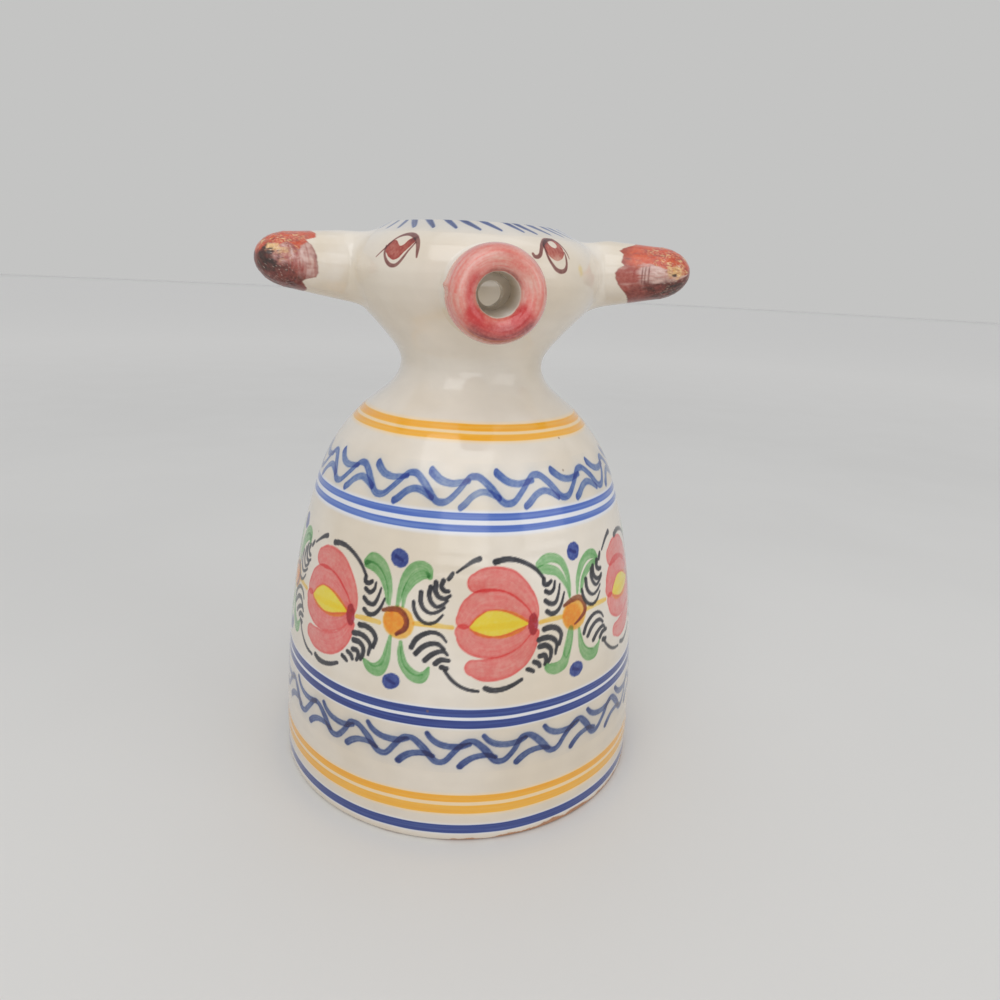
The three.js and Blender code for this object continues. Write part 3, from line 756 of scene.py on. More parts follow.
class Recipe:
    """Puts a material together, node by node."""

    def __init__(self, name):
        self.material = bpy.data.materials.new(name)
        self.material.use_nodes = True
        self.tree = self.material.node_tree
        self.tree.nodes.clear()
        self.place = self.add("TexCoord", out="Object")
        self.colours = bpy.context.scene.pitcher_colours

    def add(self, kind, *inputs, out=0, named=None, **settings):
        """A node with its inputs in order or by name, each a socket or a value. Gives one of its outputs."""
        node = self.tree.nodes.new("ShaderNode" + kind)
        for key, value in settings.items():
            setattr(node, key, value)
        for key, value in {**dict(enumerate(inputs)), **(named or {})}.items():
            if isinstance(value, bpy.types.NodeSocket):
                self.tree.links.new(value, node.inputs[key])
            elif value is not None:
                colour_socket = node.inputs[key].type == "RGBA"
                node.inputs[key].default_value = (*value[:3], 1) if colour_socket else value
        return node.outputs[out]

    def math(self, operation, *values):
        return self.add("Math", *values, operation=operation)

    def times(self, *values):
        return reduce(lambda a, b: self.math("MULTIPLY", a, b), values)

    def plus(self, *values):
        return reduce(lambda a, b: self.math("ADD", a, b), values)

    def noise(self, scale, detail=2.0, stretch=(1, 1, 1), roughness=0.5, shift=(0, 0, 0)):
        place = self.place
        if stretch != (1, 1, 1) or shift != (0, 0, 0):
            place = self.add("Mapping", place, named={"Scale": stretch, "Location": shift})
        return self.add("TexNoise", place, named={"Scale": scale, "Detail": detail, "Roughness": roughness})

    def ramp(self, value, low, high, bottom=0.0, top=1.0, kind="SMOOTHSTEP"):
        return self.add("MapRange", value, low, high, bottom, top, interpolation_type=kind)

    def band(self, value, a, b, c, d):
        """1 from b to c, and 0 below a and above d."""
        return self.times(self.ramp(value, a, b), self.ramp(value, c, d, 1, 0))

    def mix(self, factor, a, b, blend="MIX"):
        return self.add("Mix", named={0: factor, 6: a, 7: b}, out=2, data_type="RGBA", blend_type=blend)

    def pooled(self, depth, low, high):
        """Glaze that is darker where it lies thick."""
        thin, thick = linear(self.colours.glaze), linear(self.colours.glaze_shade)
        return self.mix(self.ramp(depth, low, high), thin, thick)

    def painted(self, base, fine, low, high):
        """The brushed film with its pigment's grain, and the base seen through it."""
        film = self.add("VertexColor", out="Color", layer_name="paint")
        film = self.add("Gamma", film, self.ramp(fine, 0.3, 0.7, low, high, "LINEAR"))
        return film, self.mix(1.0, base, film, "MULTIPLY")

    def surface(self, colour, roughness, height, coat=0.35, strength=0.5):
        bump = self.add("Bump", named={"Strength": strength, "Distance": BUMP_DEPTH, "Height": height})
        shader = self.add("BsdfPrincipled", named={
            "Base Color": colour, "Roughness": roughness, "Normal": bump, "IOR": 1.52,
            "Coat Weight": coat, "Coat Roughness": 0.08,
        })
        output = self.tree.nodes.new("ShaderNodeOutputMaterial")
        self.tree.links.new(shader, output.inputs["Surface"])
        return self.material


# Painted rings and the casts round them: lowest and highest edge, colour and strength.
RINGS = (
    (155.9, 157.8, "ochre", 0.9), (158.9, 160.95, "ochre", 1.0),
    (125.2, 127.5, "light_blue", 1.25), (129.3, 131.7, "light_blue", 1.3),
    (50.8, 53.9, "deep_blue", 1.2), (55.4, 58.4, "deep_blue", 1.15),
    (13.3, 16.9, "ochre", 0.95), (18.6, 21.5, "ochre", 1.1),
    (3.9, 7.7, "deep_blue", 1.1),
)
BLOOMS = (
    (124, 132.5, "blue_bloom", 0.7), (50.2, 59.2, "blue_bloom", 0.6), (3.2, 8.4, "blue_bloom", 0.5),
    (12.5, 22.3, "ochre_bloom", 0.55), (155.2, 161.6, "ochre_bloom", 0.7),
)

# Soft edges and relief of the glazes, in metres, and the colours that the panel doesn't list, among them the
# tint of the painted shade towards the foot.
BUMP_DEPTH = 0.0004
BLOOM_EDGE, RING_EDGE, RING_HEART = 0.0009, 0.0003, 0.0008
FOOT_PAINTED_SHADE, SPECK, DARK_CLAY, HORN_FLECK = "cbbca8", "7a5a3e", "a0714f", "d9a08a"


def painted_rings(mix, base, height):
    """Rings that the brush drew while the wheel turned, and the glaze's cast round them."""
    wobble = mix.math("MULTIPLY_ADD", mix.noise(22, 2, stretch=(1, 1, 0.15)), 0.0011, -0.00055)
    level = mix.plus(height, wobble)
    load = mix.ramp(mix.noise(26, 3, stretch=(1, 1, 46)), 0.3, 0.72, 0.95, 1.3, "LINEAR")
    for low, high, tone, strength in (*BLOOMS, *RINGS):
        bloom = tone.endswith("bloom")
        edge = BLOOM_EDGE if bloom else RING_EDGE
        tone, low, high = linear(getattr(mix.colours, tone)), low / 1000, high / 1000
        density = mix.times(mix.band(level, low - edge, low + edge, high - edge, high + edge), strength)
        if bloom:
            base = mix.mix(density, base, tone)
            continue
        heart = mix.band(level, low, low + RING_HEART, high - RING_HEART, high)
        density = mix.times(density, mix.math("MULTIPLY_ADD", heart, -0.22, load))
        tint = np.clip(tone / linear(mix.colours.glaze), 0.001, 1)
        base = mix.mix(1.0, base, mix.add("Gamma", tint, density), "MULTIPLY")
    return base


def specked(mix, base):
    """A few iron specks in the glaze."""
    cells = mix.add("TexVoronoi", named={"Vector": mix.place, "Scale": 95}, out="Distance")
    chosen = mix.add("SeparateXYZ", cells.node.outputs["Color"], out="X")
    speck = mix.times(mix.ramp(cells, 0.03, 0.075, 1, 0), mix.math("GREATER_THAN", chosen, 0.93))
    return mix.mix(mix.times(speck, 0.55), base, linear(rgb(SPECK)))


def worn_foot(mix, base, roughness, relief, height):
    """Bare clay where the foot was wiped, highest in front on the bull's left."""
    edge = mix.math("MULTIPLY_ADD", mix.noise(70, 5, roughness=0.65), 0.006, -0.0024)
    side = mix.add("VectorMath", mix.place, (0.75, -0.66, 0), operation="DOT_PRODUCT", out="Value")
    edge = mix.plus(edge, mix.ramp(side, 0.03, 0.085, -0.0006, 0.0018))
    bare = mix.ramp(mix.math("SUBTRACT", height, edge), -0.0002, 0.0004, 1, 0)
    clay = mix.mix(mix.noise(400, 4), linear(mix.colours.clay), linear(rgb(DARK_CLAY)))
    roughness = mix.math("MAXIMUM", roughness, mix.times(bare, 0.85))
    relief = mix.plus(relief, mix.times(bare, mix.noise(1400, 3), 0.4))
    return mix.mix(bare, base, clay), roughness, relief


def tin_glaze(name, ringed=False):
    """White glaze with its pooling, specks and brushwork, painted shade darker towards the foot, and on the
    bell its rings and worn foot.
    """
    mix = Recipe(name)
    mottle, fine = mix.noise(95, 4, shift=(0.3, 0.1, 0.2)), mix.noise(620, 3)
    height = mix.add("SeparateXYZ", mix.place, out="Z")
    base = mix.pooled(mix.noise(16, 3), 0.36, 0.68)
    # Painted shade: the glaze is tinted darker and warmer towards the foot, fading out over the lowest 100
    # mm.
    base = mix.mix(mix.ramp(height, 0, 0.1, 0.4, 0), base, linear(rgb(FOOT_PAINTED_SHADE)))
    tone = mix.add("MapRange", mottle, 0.3, 0.7, 0.965, 1.02)
    base = mix.add("VectorMath", base, named={3: tone}, operation="SCALE")
    if ringed:
        base = painted_rings(mix, base, height)
    film, base = mix.painted(base, fine, 0.86, 1.16)
    base = specked(mix, base)
    roughness = mix.ramp(mottle, 0.3, 0.72, 0.1, 0.19, "LINEAR")
    slow, quick = mix.noise(48, 2), mix.noise(210, 2)
    relief = mix.plus(mix.times(slow, 0.8), mix.times(fine, 0.03), mix.times(quick, 0.1))
    relief = mix.math("SUBTRACT", relief, mix.times(mix.add("RGBToBW", film), 0.12))
    if ringed:
        base, roughness, relief = worn_foot(mix, base, roughness, relief, height)
    return mix.surface(base, roughness, relief)


def material(name, maker, **how):
    return bpy.data.materials.get(name) or maker(name, **how)


# ---------------------------------------------------------------- luting a form to the wall


def footprint(ring, direction):
    """Where lines from a ring of points meet the wall, as angles and distances along its profile."""
    direction = np.asarray(direction, float)
    gone, step = np.zeros(len(ring)), 8.0
    for _ in range(60):
        p = ring + direction * (gone + step)[:, None]
        outside = np.hypot(p[:, 0], p[:, 1]) > radius_at(p[:, 2])
        gone = np.where(outside, gone + step, gone)
        step *= 0.86
    p = ring + direction * gone[:, None]
    return np.arctan2(p[:, 0], -p[:, 1]), WALL.place(p[:, 2])


def luted(ring, direction, spread, steps=14, fullness=1.1, highest=RIM, middle=None, leaving=None):
    """Rings from under the wall's surface, over a fillet that leaves it smoothly, up to the given ring."""
    angle, place = footprint(ring, direction)
    centre = (np.mean(angle), np.mean(place)) if middle is None else middle
    r0 = np.interp(centre[1], WALL.run, WALL.line[:, 0])
    across, up = (angle - centre[0]) * r0, place - centre[1]
    far = np.hypot(across, up)
    ceiling = WALL.place(highest) - centre[1] - 3

    def at(extra, lift=0.0):
        k = (far + extra) / far
        rise = up * k
        rise = np.where(rise > ceiling, ceiling + 3 * np.tanh((rise - ceiling) / 3), rise)
        return on_wall(centre[0] + across * k / r0, centre[1] + rise, lift)

    foot = at(spread)
    normal = at(spread, 1.0) - foot
    inward = on_wall(*centre) - foot
    inward = unit(inward - normal * (inward * normal).sum(1)[:, None])
    gap = np.linalg.norm(ring - foot, axis=1)[:, None] * fullness
    outward = -np.asarray(direction, float) if leaving is None else leaving
    sunk = ((3.0, -2.6), (2.6, -0.16), (1.7, -0.07), (0.85, -0.018))
    rows = [at(spread + extra, lift) for extra, lift in sunk]
    rows += [hermite(t, foot, inward * gap, ring, outward * gap) for t in np.linspace(0, 1, steps + 1)[:-1]]
    return np.array(rows)


# ---------------------------------------------------------------- bell and head


def bend(radius, height, size, *degrees):
    """Points of a rounded corner about a middle, from angles above the horizontal."""
    return [(radius + size * math.cos(a), height + size * math.sin(a)) for a in np.radians(degrees)]


def dip(past_seam):
    """How far a wall tucks under its neighbour, from its height past the seam."""
    return 0.15 * (np.maximum(past_seam, 0) / 2) ** 2


def bell_rows():
    """Radius and height of the bell's underside, outside and inside."""
    wall, floor = millimetres("wall", "floor")
    recess = [(r, FOOT_RECESS) for r in (6, 20, 36, 52, 66, 68)]
    under = recess + [(69, 1.1), (70, 0.25), (71, 0), (76, 0), (80, 0)]
    edge = bend(81.4, 1.6, 1.6, -90, -70, -50, -30, -12)
    line, normal = WALL.at(np.arange(WALL.place(2.2), WALL.place(SEAM + 2), 1.1))
    tuck = dip(line[:, 1] - SEAM)
    outer = line - normal * tuck[:, None]
    inner = (line - normal * (wall - tuck)[:, None])[::-3]
    inner = inner[inner[:, 1] > floor + CORNER]
    corner = bend(inner[-1, 0] - CORNER, floor + CORNER, CORNER, -15, -35, -55, -75, -90)
    base = [(r, floor) for r in (60, 45, 30, 15, 5)]
    return np.vstack([under, edge, outer, inner, corner, base])


def skin(name, profile, start, stop, angles, film, glaze, margin=4.0, sides=0.0, lift=0.02):
    """A closed skin of painted glaze over part of a thrown wall, whose edges sink into the wall."""
    places = np.linspace(start, stop, len(film))
    sunk = smooth(np.minimum(places - start, stop - places), 0, margin)[:, None]
    if sides:
        reach = np.minimum(angles - angles[0], angles[-1] - angles) * profile.line[:, 0].max()
        sunk = sunk * smooth(reach, 0, sides)[None]
    turn, place = angles[None], places[:, None]
    outer = on_wall(turn, place, -0.03 + (lift + 0.03) * sunk, profile)
    inner = on_wall(turn, np.linspace(stop, start, 9)[:, None], -0.5, profile)
    arc = abs(len(angles) * (angles[1] - angles[0]) - TAU) > 1e-6
    film = np.vstack([film, np.ones(inner.shape)])
    piece = shell(name, np.vstack([outer, inner]), film=film, material=glaze, looped=True, arc=arc)
    up = on_wall(turn, place + 0.2, 0, profile) - on_wall(turn, place - 0.2, 0, profile)
    round_it = on_wall(turn + 0.003, place, 0, profile) - on_wall(turn - 0.003, place, 0, profile)
    normals = np.vstack([unit(np.cross(round_it, up)), np.zeros(inner.shape)]).reshape(-1, 3)
    piece.data.normals_split_custom_set_from_vertices(normals.tolist())
    hand_over(piece, "tin_glaze")


def decorated(name, low, high, columns, rows, paint_on, halves=False):
    """Paints a stretch of the bell all round and lays it on as one skin, or as two halves that meet."""
    start, stop = WALL.place(low) - 4, WALL.place(high) + 4
    wash = Wash(turns(columns, -0.5), levels(WALL, start, stop, rows), BELL_SCALE)
    paint_on(wash)
    glaze = material("tin_glaze_ringed", tin_glaze, ringed=True)
    if not halves:
        skin(name, WALL, start, stop, wash.angles, wash.film, glaze)
        return
    for label, first in (("front", columns // 4), ("back", 3 * columns // 4)):
        chosen = np.arange(first, first + columns // 2 + 1)
        turn = (chosen / columns - 0.5) * TAU
        skin(f"{name}_{label}", WALL, start, stop, turn, wash.film[:, chosen % columns], glaze)


def inks_of(colours):
    """Every colour of the panel as a paint over the glaze."""
    return {name: ink(getattr(colours, name), colours.glaze) for name in PitcherColours.__annotations__}


class PITCHER_OT_throw_bell(bpy.types.Operator):
    """Throws the bell-shaped body with its foot, floor and neck"""

    bl_idname = "pitcher.throw_bell"
    bl_label = "Throw the bell"

    def execute(self, context):
        rings = revolved(bell_rows(), 320)
        glaze = material("tin_glaze_ringed", tin_glaze, ringed=True)
        poles = ((0, 0, FOOT_RECESS), (0, 0, *millimetres("floor")))
        bell = shell("bell_glazed", rings, poles, film=np.ones(rings.shape), material=glaze)
        hand_over(bell, "tin_glaze", "bell_body")
        return {"FINISHED"}


class PITCHER_OT_paint_bell(bpy.types.Operator):
    """Paints the frieze of flowers and the two scroll borders round the bell"""

    bl_idname = "pitcher.paint_bell"
    bl_label = "Paint the bell"

    def execute(self, context):
        inks = inks_of(context.scene.pitcher_colours)

        def frieze(wash):
            turned = (FLOWERS[0][0] + TAU * BELL_SCALE, FLOWERS[0][1])
            knobs = [tuple((np.array(a) + b) / 2) for a, b in zip(FLOWERS, FLOWERS[1:] + (turned,))]
            knobs[:2] = KNOBS
            hand = Hand(wash, 21)
            for n, at in enumerate(FLOWERS):
                hand.shake = (0.3, 0.0, 1.0)[min(n, 2)]
                paint_flower(hand, at, inks)
            for n, at in enumerate(knobs):
                hand.shake = 0.0 if n < 2 else 1.0
                paint_knob(hand, n % 2, at, inks)

        decorated("frieze", 62.5, 118.5, 1200, 156, frieze, halves=True)
        upper, lower = 1.25 * inks["light_blue"], 0.82 * inks["deep_blue"]
        decorated("upper_border", 133, 147, 1400, 64, lambda wash: paint_border(
            wash, upper, UPPER_BRANCHES, waves=16, crest=144.2, trough=135.1, first=-5.5, seed=31))
        decorated("lower_border", 33.5, 49.5, 1400, 66, lambda wash: paint_border(
            wash, lower, LOWER_BRANCHES, waves=22, crest=45.5, trough=36.0, first=-5.0, seed=33))
        return {"FINISHED"}


VENT_RADIUS = 2.2


class PITCHER_OT_throw_head(bpy.types.Operator):
    """Throws the head and pierces it behind the snout and the horns"""

    bl_idname = "pitcher.throw_head"
    bl_label = "Throw the head"

    def execute(self, context):
        wall, lip = millimetres("wall", "lip")
        low = np.arange(WALL.place(SEAM - 2), WALL.place(200), 1.0)
        line, normal = WALL.at(np.concatenate([low, np.linspace(WALL.place(200), WALL.run[-1], 80)]))
        tuck = dip(SEAM - line[:, 1])
        outer = line - normal * tuck[:, None]
        depth = wall + (lip - wall) * smooth(line[:, 1], RIM - 16, RIM)
        inner = (line - normal * (depth - tuck)[:, None])[::-2]
        rim = rim_profile(lip)
        top = rim.line[(rim.run > rim.place(RIM) + 0.01) & (rim.level < RIM + math.pi * lip / 2 - 0.1)]
        rings = revolved(np.vstack([outer, top, inner]), 420)
        wash = Wash(turns(420, -0.5), outer[:, 1], HEAD_SCALE)
        inks = inks_of(context.scene.pitcher_colours)
        wash.blot(ellipse(*RUN_IN_GLAZE), inks["ochre"], **BRUSH["run_in_glaze"])
        film = np.vstack([wash.film, np.ones((len(top) + len(inner), 420, 3))])
        glaze = material("tin_glaze_plain", tin_glaze)
        head = shell("head_glazed", rings, film=film, material=glaze, looped=True)
        height, horn, pour = millimetres("snout_height", "horn_height", "pour_radius")
        vents = [((30 * side, 0, horn + side), (75 * side, 0, horn + side), VENT_RADIUS) for side in (1, -1)]
        bored(head, [((0, -20, height), (0, -70, height), pour), *vents])
        hand_over(head, "tin_glaze", "head_bowl")
        return {"FINISHED"}


def paint_eye(wash, n, inks):
    """The iris, faded below and with a glint on the bull's left, and the lids."""
    bare = wash.film.copy()
    wash.blot(points_of(IRISES[n]), inks["eye"], **BRUSH["iris"])
    if n:
        fade = smooth(wash.heights, 221.4, 224.6)[:, None, None]
        wash.film = wash.film ** (0.3 + 0.7 * fade)
        glint = Wash(wash.angles, wash.heights, HEAD_SCALE)
        glint.blot(points_of(GLINT), np.ones(3), **BRUSH["glint"])
        kept = 1 - glint.film[..., :1]
        wash.film = wash.film * (1 - kept) + bare * kept
    for points in strokes_of(EYE_LINES[n]):
        wash.stroke(points, inks["eye_line"], **BRUSH["lid"])
    wash.blot(ellipse(*EYE_CORNERS[n], 1.6, 0.9, 0.6), inks["eye_line"], **BRUSH["eye_corner"])


def paint_rim(wash, paint):
    """Slanting dashes over the rim: the ones in sight where they are, then even ones round the back."""
    hand = Hand(wash, 41, 0.6)
    unseen = np.linspace(DASHES[-1], DASHES[0] + TAU * RIM_SCALE, 27)[1:-1]
    for n, at in enumerate([*DASHES, *unseen]):
        lean = 0.5 if n < 2 else 1 - 0.2 * hand.random.random()
        dash = points_of(DASH) * (lean, 1, 1) + (at, 0, 0)
        wash.stroke(hand.moved(dash, 0, dash[:, :2].mean(0)), paint, **BRUSH["dash"])


class PITCHER_OT_paint_head(bpy.types.Operator):
    """Paints the bull's two eyes and the slanting dashes over the rim"""

    bl_idname = "pitcher.paint_head"
    bl_label = "Paint the head"

    def execute(self, context):
        inks = inks_of(context.scene.pitcher_colours)
        glaze = material("tin_glaze_plain", tin_glaze)
        for n, (name, across, low, high) in enumerate(EYES):
            angles = np.linspace(*across, 150) / HEAD_SCALE
            start, stop = WALL.place(low), WALL.place(high)
            wash = Wash(angles, levels(WALL, start, stop, 130), HEAD_SCALE)
            paint_eye(wash, n, inks)
            skin(name, WALL, start, stop, angles, wash.film, glaze, margin=1.8, sides=1.8)
        rim = rim_profile(*millimetres("lip"))
        start, stop = rim.place(228.7), rim.run[-1]
        angles = turns(1000, -0.5)
        wash = Wash(angles, levels(rim, start, stop, 60), RIM_SCALE)
        paint_rim(wash, inks["deep_blue"])
        skin("rim_painted", rim, start, stop, angles, wash.film, glaze, margin=2.0, lift=0.035)
        return {"FINISHED"}


# ---------------------------------------------------------------- snout, horns and handle

# The snout's thick ring: radius of its crest, and its height as a part of its width.
SNOUT_CREST, SNOUT_FLATNESS = 12.2, 16.7 / 17.4


def film_over(tone, cover):
    """The film that shows a tone where it covers the glaze."""
    return 1 + (tone / linear(bpy.context.scene.pitcher_colours.glaze) - 1) * cover[..., None]


def snout_nick(rings, height, face):
    """A crumb of clay caught on the ring, with a small hollow under it."""
    x, y, z = rings[..., 0], rings[..., 1], rings[..., 2] - height

    def lump(up, reach):
        return np.exp(-(((x + 17) ** 2 + (z - up) ** 2) / reach**2 + ((y + face - 9) / 4) ** 2))

    size = 0.75 * lump(2.4, 1.2) - 0.55 * lump(-0.6, 1.1)
    return np.stack([x, 0 * y, z], -1) / np.hypot(x, z)[..., None] * size[..., None]


def snout_film(rings, first, count, height, colours):
    """The red of the snout: a thin wash, deeper in arcs, mauve-brown below, partly red run in the fire and
    partly painted shade on the ring's underside, a painted shade line along the top edge of the bore, and a
    dark line round its edge.
    """
    x, z = rings[..., 0], rings[..., 2] - height
    radius, turn = np.hypot(x, z), np.arctan2(z, x)
    run = along(rings[:, 0])[:, None]
    limit = run[first] - 0.8 + 0.8 * grain(turn * 4, 0, 2) + 4.6 * smooth(-z, 9, 16)
    end = run[first + count - 1] - 0.5 + 0.5 * grain(turn * 5, 1, 3)
    cover = over(run - limit, 0.7) * over(end - run, 0.7)
    hairs = grain(run / 0.6, turn * 1.8, 1) + 0.7 * grain(run / 0.3, turn * 2.4, 6)
    patches = grain(run / 4.5, turn * 1.6, 8)

    def arc(at, wide, low, high):
        """A band of the ring round a radius, between two angles in degrees."""
        away = np.abs((np.degrees(turn) % 360 - (low + high) / 2 + 180) % 360 - 180)
        return np.exp(-(((radius - at) / wide) ** 2)) * over((high - low) / 2 - away, 18)

    deep = 0.9 * arc(9.8, 1.7, 138, 236) + 0.85 * arc(11.5, 3.6, 205, 335)
    deep += 0.75 * arc(9.2, 1.9, 298, 346) + 0.3 * arc(13, 1.6, 70, 100)
    deep = deep + 0.22 * hairs + 0.18 * patches
    # Painted shade: mauve-brown on the ring's underside and along the top edge of the bore; the dark line
    # round the paint's edge and part of the mauve below are the red's own run.
    run_and_painted_shade = 0.75 * arc(14.2, 2.1, 228, 325) + 0.5 * arc(7.9, 0.6, 20, 120)
    run_and_painted_shade += 0.8 * np.exp(-np.abs(run - limit - 0.2) / 0.35) + 0.25 * arc(11, 1.2, 250, 300)
    run_and_painted_shade = np.clip(run_and_painted_shade * (0.8 + 0.8 * hairs), 0, 0.85)
    thin = np.clip(0.16 + 0.35 * hairs - 0.3 * patches, 0, 0.5)
    tone = blend(linear(colours.snout), linear(colours.glaze), thin)
    tone = blend(blend(tone, linear(colours.snout_deep), deep), linear(colours.snout_run_and_shade), run_and_painted_shade)
    return film_over(tone, cover)


class PITCHER_OT_lute_snout(bpy.types.Operator):
    """Lutes the ring snout to the front of the head"""

    bl_idname = "pitcher.lute_snout"
    bl_label = "Lute the snout"

    def execute(self, context):
        bore, outside = millimetres("bore_radius", "snout_radius")
        height, reach = millimetres("snout_height", "snout_reach")
        face = radius_at(height) + reach
        turn = turns(320)

        def ring(radius, distance):
            k = 1 + (SNOUT_FLATNESS - 1) * (radius - bore) / (outside - bore)
            return np.column_stack([radius * np.cos(turn), np.full(len(turn), -distance),
                                    height + radius * k * np.sin(turn)])

        crest = SNOUT_CREST
        swell = [(crest + (outside - crest) * max(math.cos(a), 0) ** 0.85, face - 10.4 * (1 - math.sin(a)))
                 for a in np.radians(np.linspace(-34, 88, 42))]
        lip = [(crest - (crest - bore) * math.cos(a), face - 3.6 * (1 - math.sin(a)))
               for a in np.radians(np.linspace(88, 4, 16))]
        rows = [ring(r, d) for r, d in softened(even(np.array(swell + lip), 0.4), 2)]
        root = luted(rows[0], (0, 1, 0), 1.6, middle=(0.0, WALL.place(height)))
        back = on_wall(*footprint(ring(bore, face), (0, 1, 0)), -2.6)
        tube = [rows[-1] + (back - rows[-1]) * t for t in np.linspace(0, 1, 18)[1:]]
        rings = np.vstack([root, rows, tube])
        rings = rings + snout_nick(rings, height, face)
        film = snout_film(rings, len(root), len(rows), height, context.scene.pitcher_colours)
        glaze = material("brushed_red_glaze", snout_glaze)
        snout = shell("snout_painted", rings, film=film, material=glaze, looped=True)
        hand_over(snout, "snout_glaze", "snout_ring")
        return {"FINISHED"}


def snout_glaze(name):
    """Thin red brushed over the glaze and run a little in the fire."""
    mix = Recipe(name)
    slow, fine = mix.noise(60, 3), mix.noise(900, 3)
    base = mix.painted(mix.pooled(slow, 0.35, 0.7), fine, 0.82, 1.2)[1]
    roughness = mix.ramp(slow, 0.3, 0.7, 0.12, 0.24, "LINEAR")
    return mix.surface(base, roughness, mix.plus(mix.times(mix.noise(90, 2), 0.6), mix.times(fine, 0.05)))


# A horn leaves its root this far from its tip, is blunt over the last stretch, and has this wall.
HORN_FROM_TIP, HORN_BLUNT, HORN_WALL = 32.0, 12, 4.2
PALE_SPECK = (0.93, 0.85, 0.78)
# How far from the tip the paint reaches round each horn: angle from the front upwards and distance.
HORN_EDGE = (
    ((-150, 19.5), (-134, 16.2), (-118, 18.6), (-90, 19), (-65, 18.3), (-46, 14.8), (-38, 16), (-30, 19.3),
     (-20, 19.9), (0, 19.2), (10, 19), (30, 17.8), (44, 15.8), (50, 20.2), (62, 21.3), (90, 21), (112, 19.4),
     (138, 18), (144, 20.4), (165, 20)),
    ((-155, 25.6), (-132, 22.6), (-115, 25), (-90, 24.5), (-75, 24), (-50, 23.5), (-35, 24.8), (-23, 26.4),
     (-12, 27.6), (0, 28), (8, 26.8), (14, 24.3), (20, 25.8), (33, 25.3), (38, 25.6), (45, 27.3), (52, 26.2),
     (68, 22.6), (90, 22), (118, 24.2), (146, 26), (156, 24)),
)
# Distance from the tip, and the angles over which the orange begins and under which the brown does.
HORN_ZONES = (
    ((0, 8, -25), (4, 22, -15), (8, 44, -10), (12, 24, -28), (16, 38, -36), (20, 46, -38)),
    ((0, -12, -25), (4, -4, -22), (7, 5, -18), (12, 14, -20), (20, 16, -24), (28, 20, -58)),
)
# Where the tip is dark, hazy, crusted and pierced: place and reach on the horn laid flat round its tip.
HORN_PATCHES = (
    ((5, -0.8, 6.6, 6), (11.5, 3.4, 5.5, 4.6), (8.3, 5.2, 2.9, 2.1), (7.4, 4.2, 1.2, 0.9)),
    ((6.2, -9.4, 5.4, 4.2), (9.6, 0.4, 4.2, 3.8), (9.2, 0.8, 3.8, 3), (10.4, -1.6, 1.2, 1)),
)


def laid_flat(distances, angle):
    """Distance from the tip, angle, and both as a flat place round the tip."""
    d, a = distances[:, None], (angle[None] + math.pi) % TAU - math.pi
    arc = np.where(d < HORN_BLUNT, HORN_BLUNT * np.arccos(np.clip(1 - d / HORN_BLUNT, -1, 1)), d + 6.85)
    return d, a, arc * np.cos(a), arc * np.sin(a)


def horn_patch(n, p, q, side):
    """A patch with a ragged edge, from 0 to 1."""
    at, up, long, wide = HORN_PATCHES[side > 0][n]
    far = np.hypot((p - at) / long, (q - up) / wide)
    far = far + 0.7 * grain(p / 1.7, q / 1.7, 12 + n) + 0.35 * grain(p / 0.7, q / 0.7, n)
    return smooth(1.15 - far, 0, 0.5)


def horn_crust(outer, distances, angle, side):
    """Small lumps where the glaze has crawled and blistered at the tip."""
    out = outer - outer.mean(1, keepdims=True)
    out /= np.maximum(np.linalg.norm(out, axis=-1, keepdims=True), 1e-6)
    d, a, p, q = laid_flat(distances, angle)
    seam = smooth(math.pi - np.abs(a), 0, 0.3)
    lumps = grain(p / 1.5, q / 1.5, side + 2) + 0.7 * grain(p / 0.8, q / 0.8, side + 4)
    height = 0.22 * lumps * smooth(18 - d, 0, 8) * seam + 0.85 * horn_patch(2, p, q, side) * (lumps + 0.2)
    height -= 0.7 * horn_patch(3, p, q, side)
    return out * (height * smooth(d, 0, 1.5))[..., None]


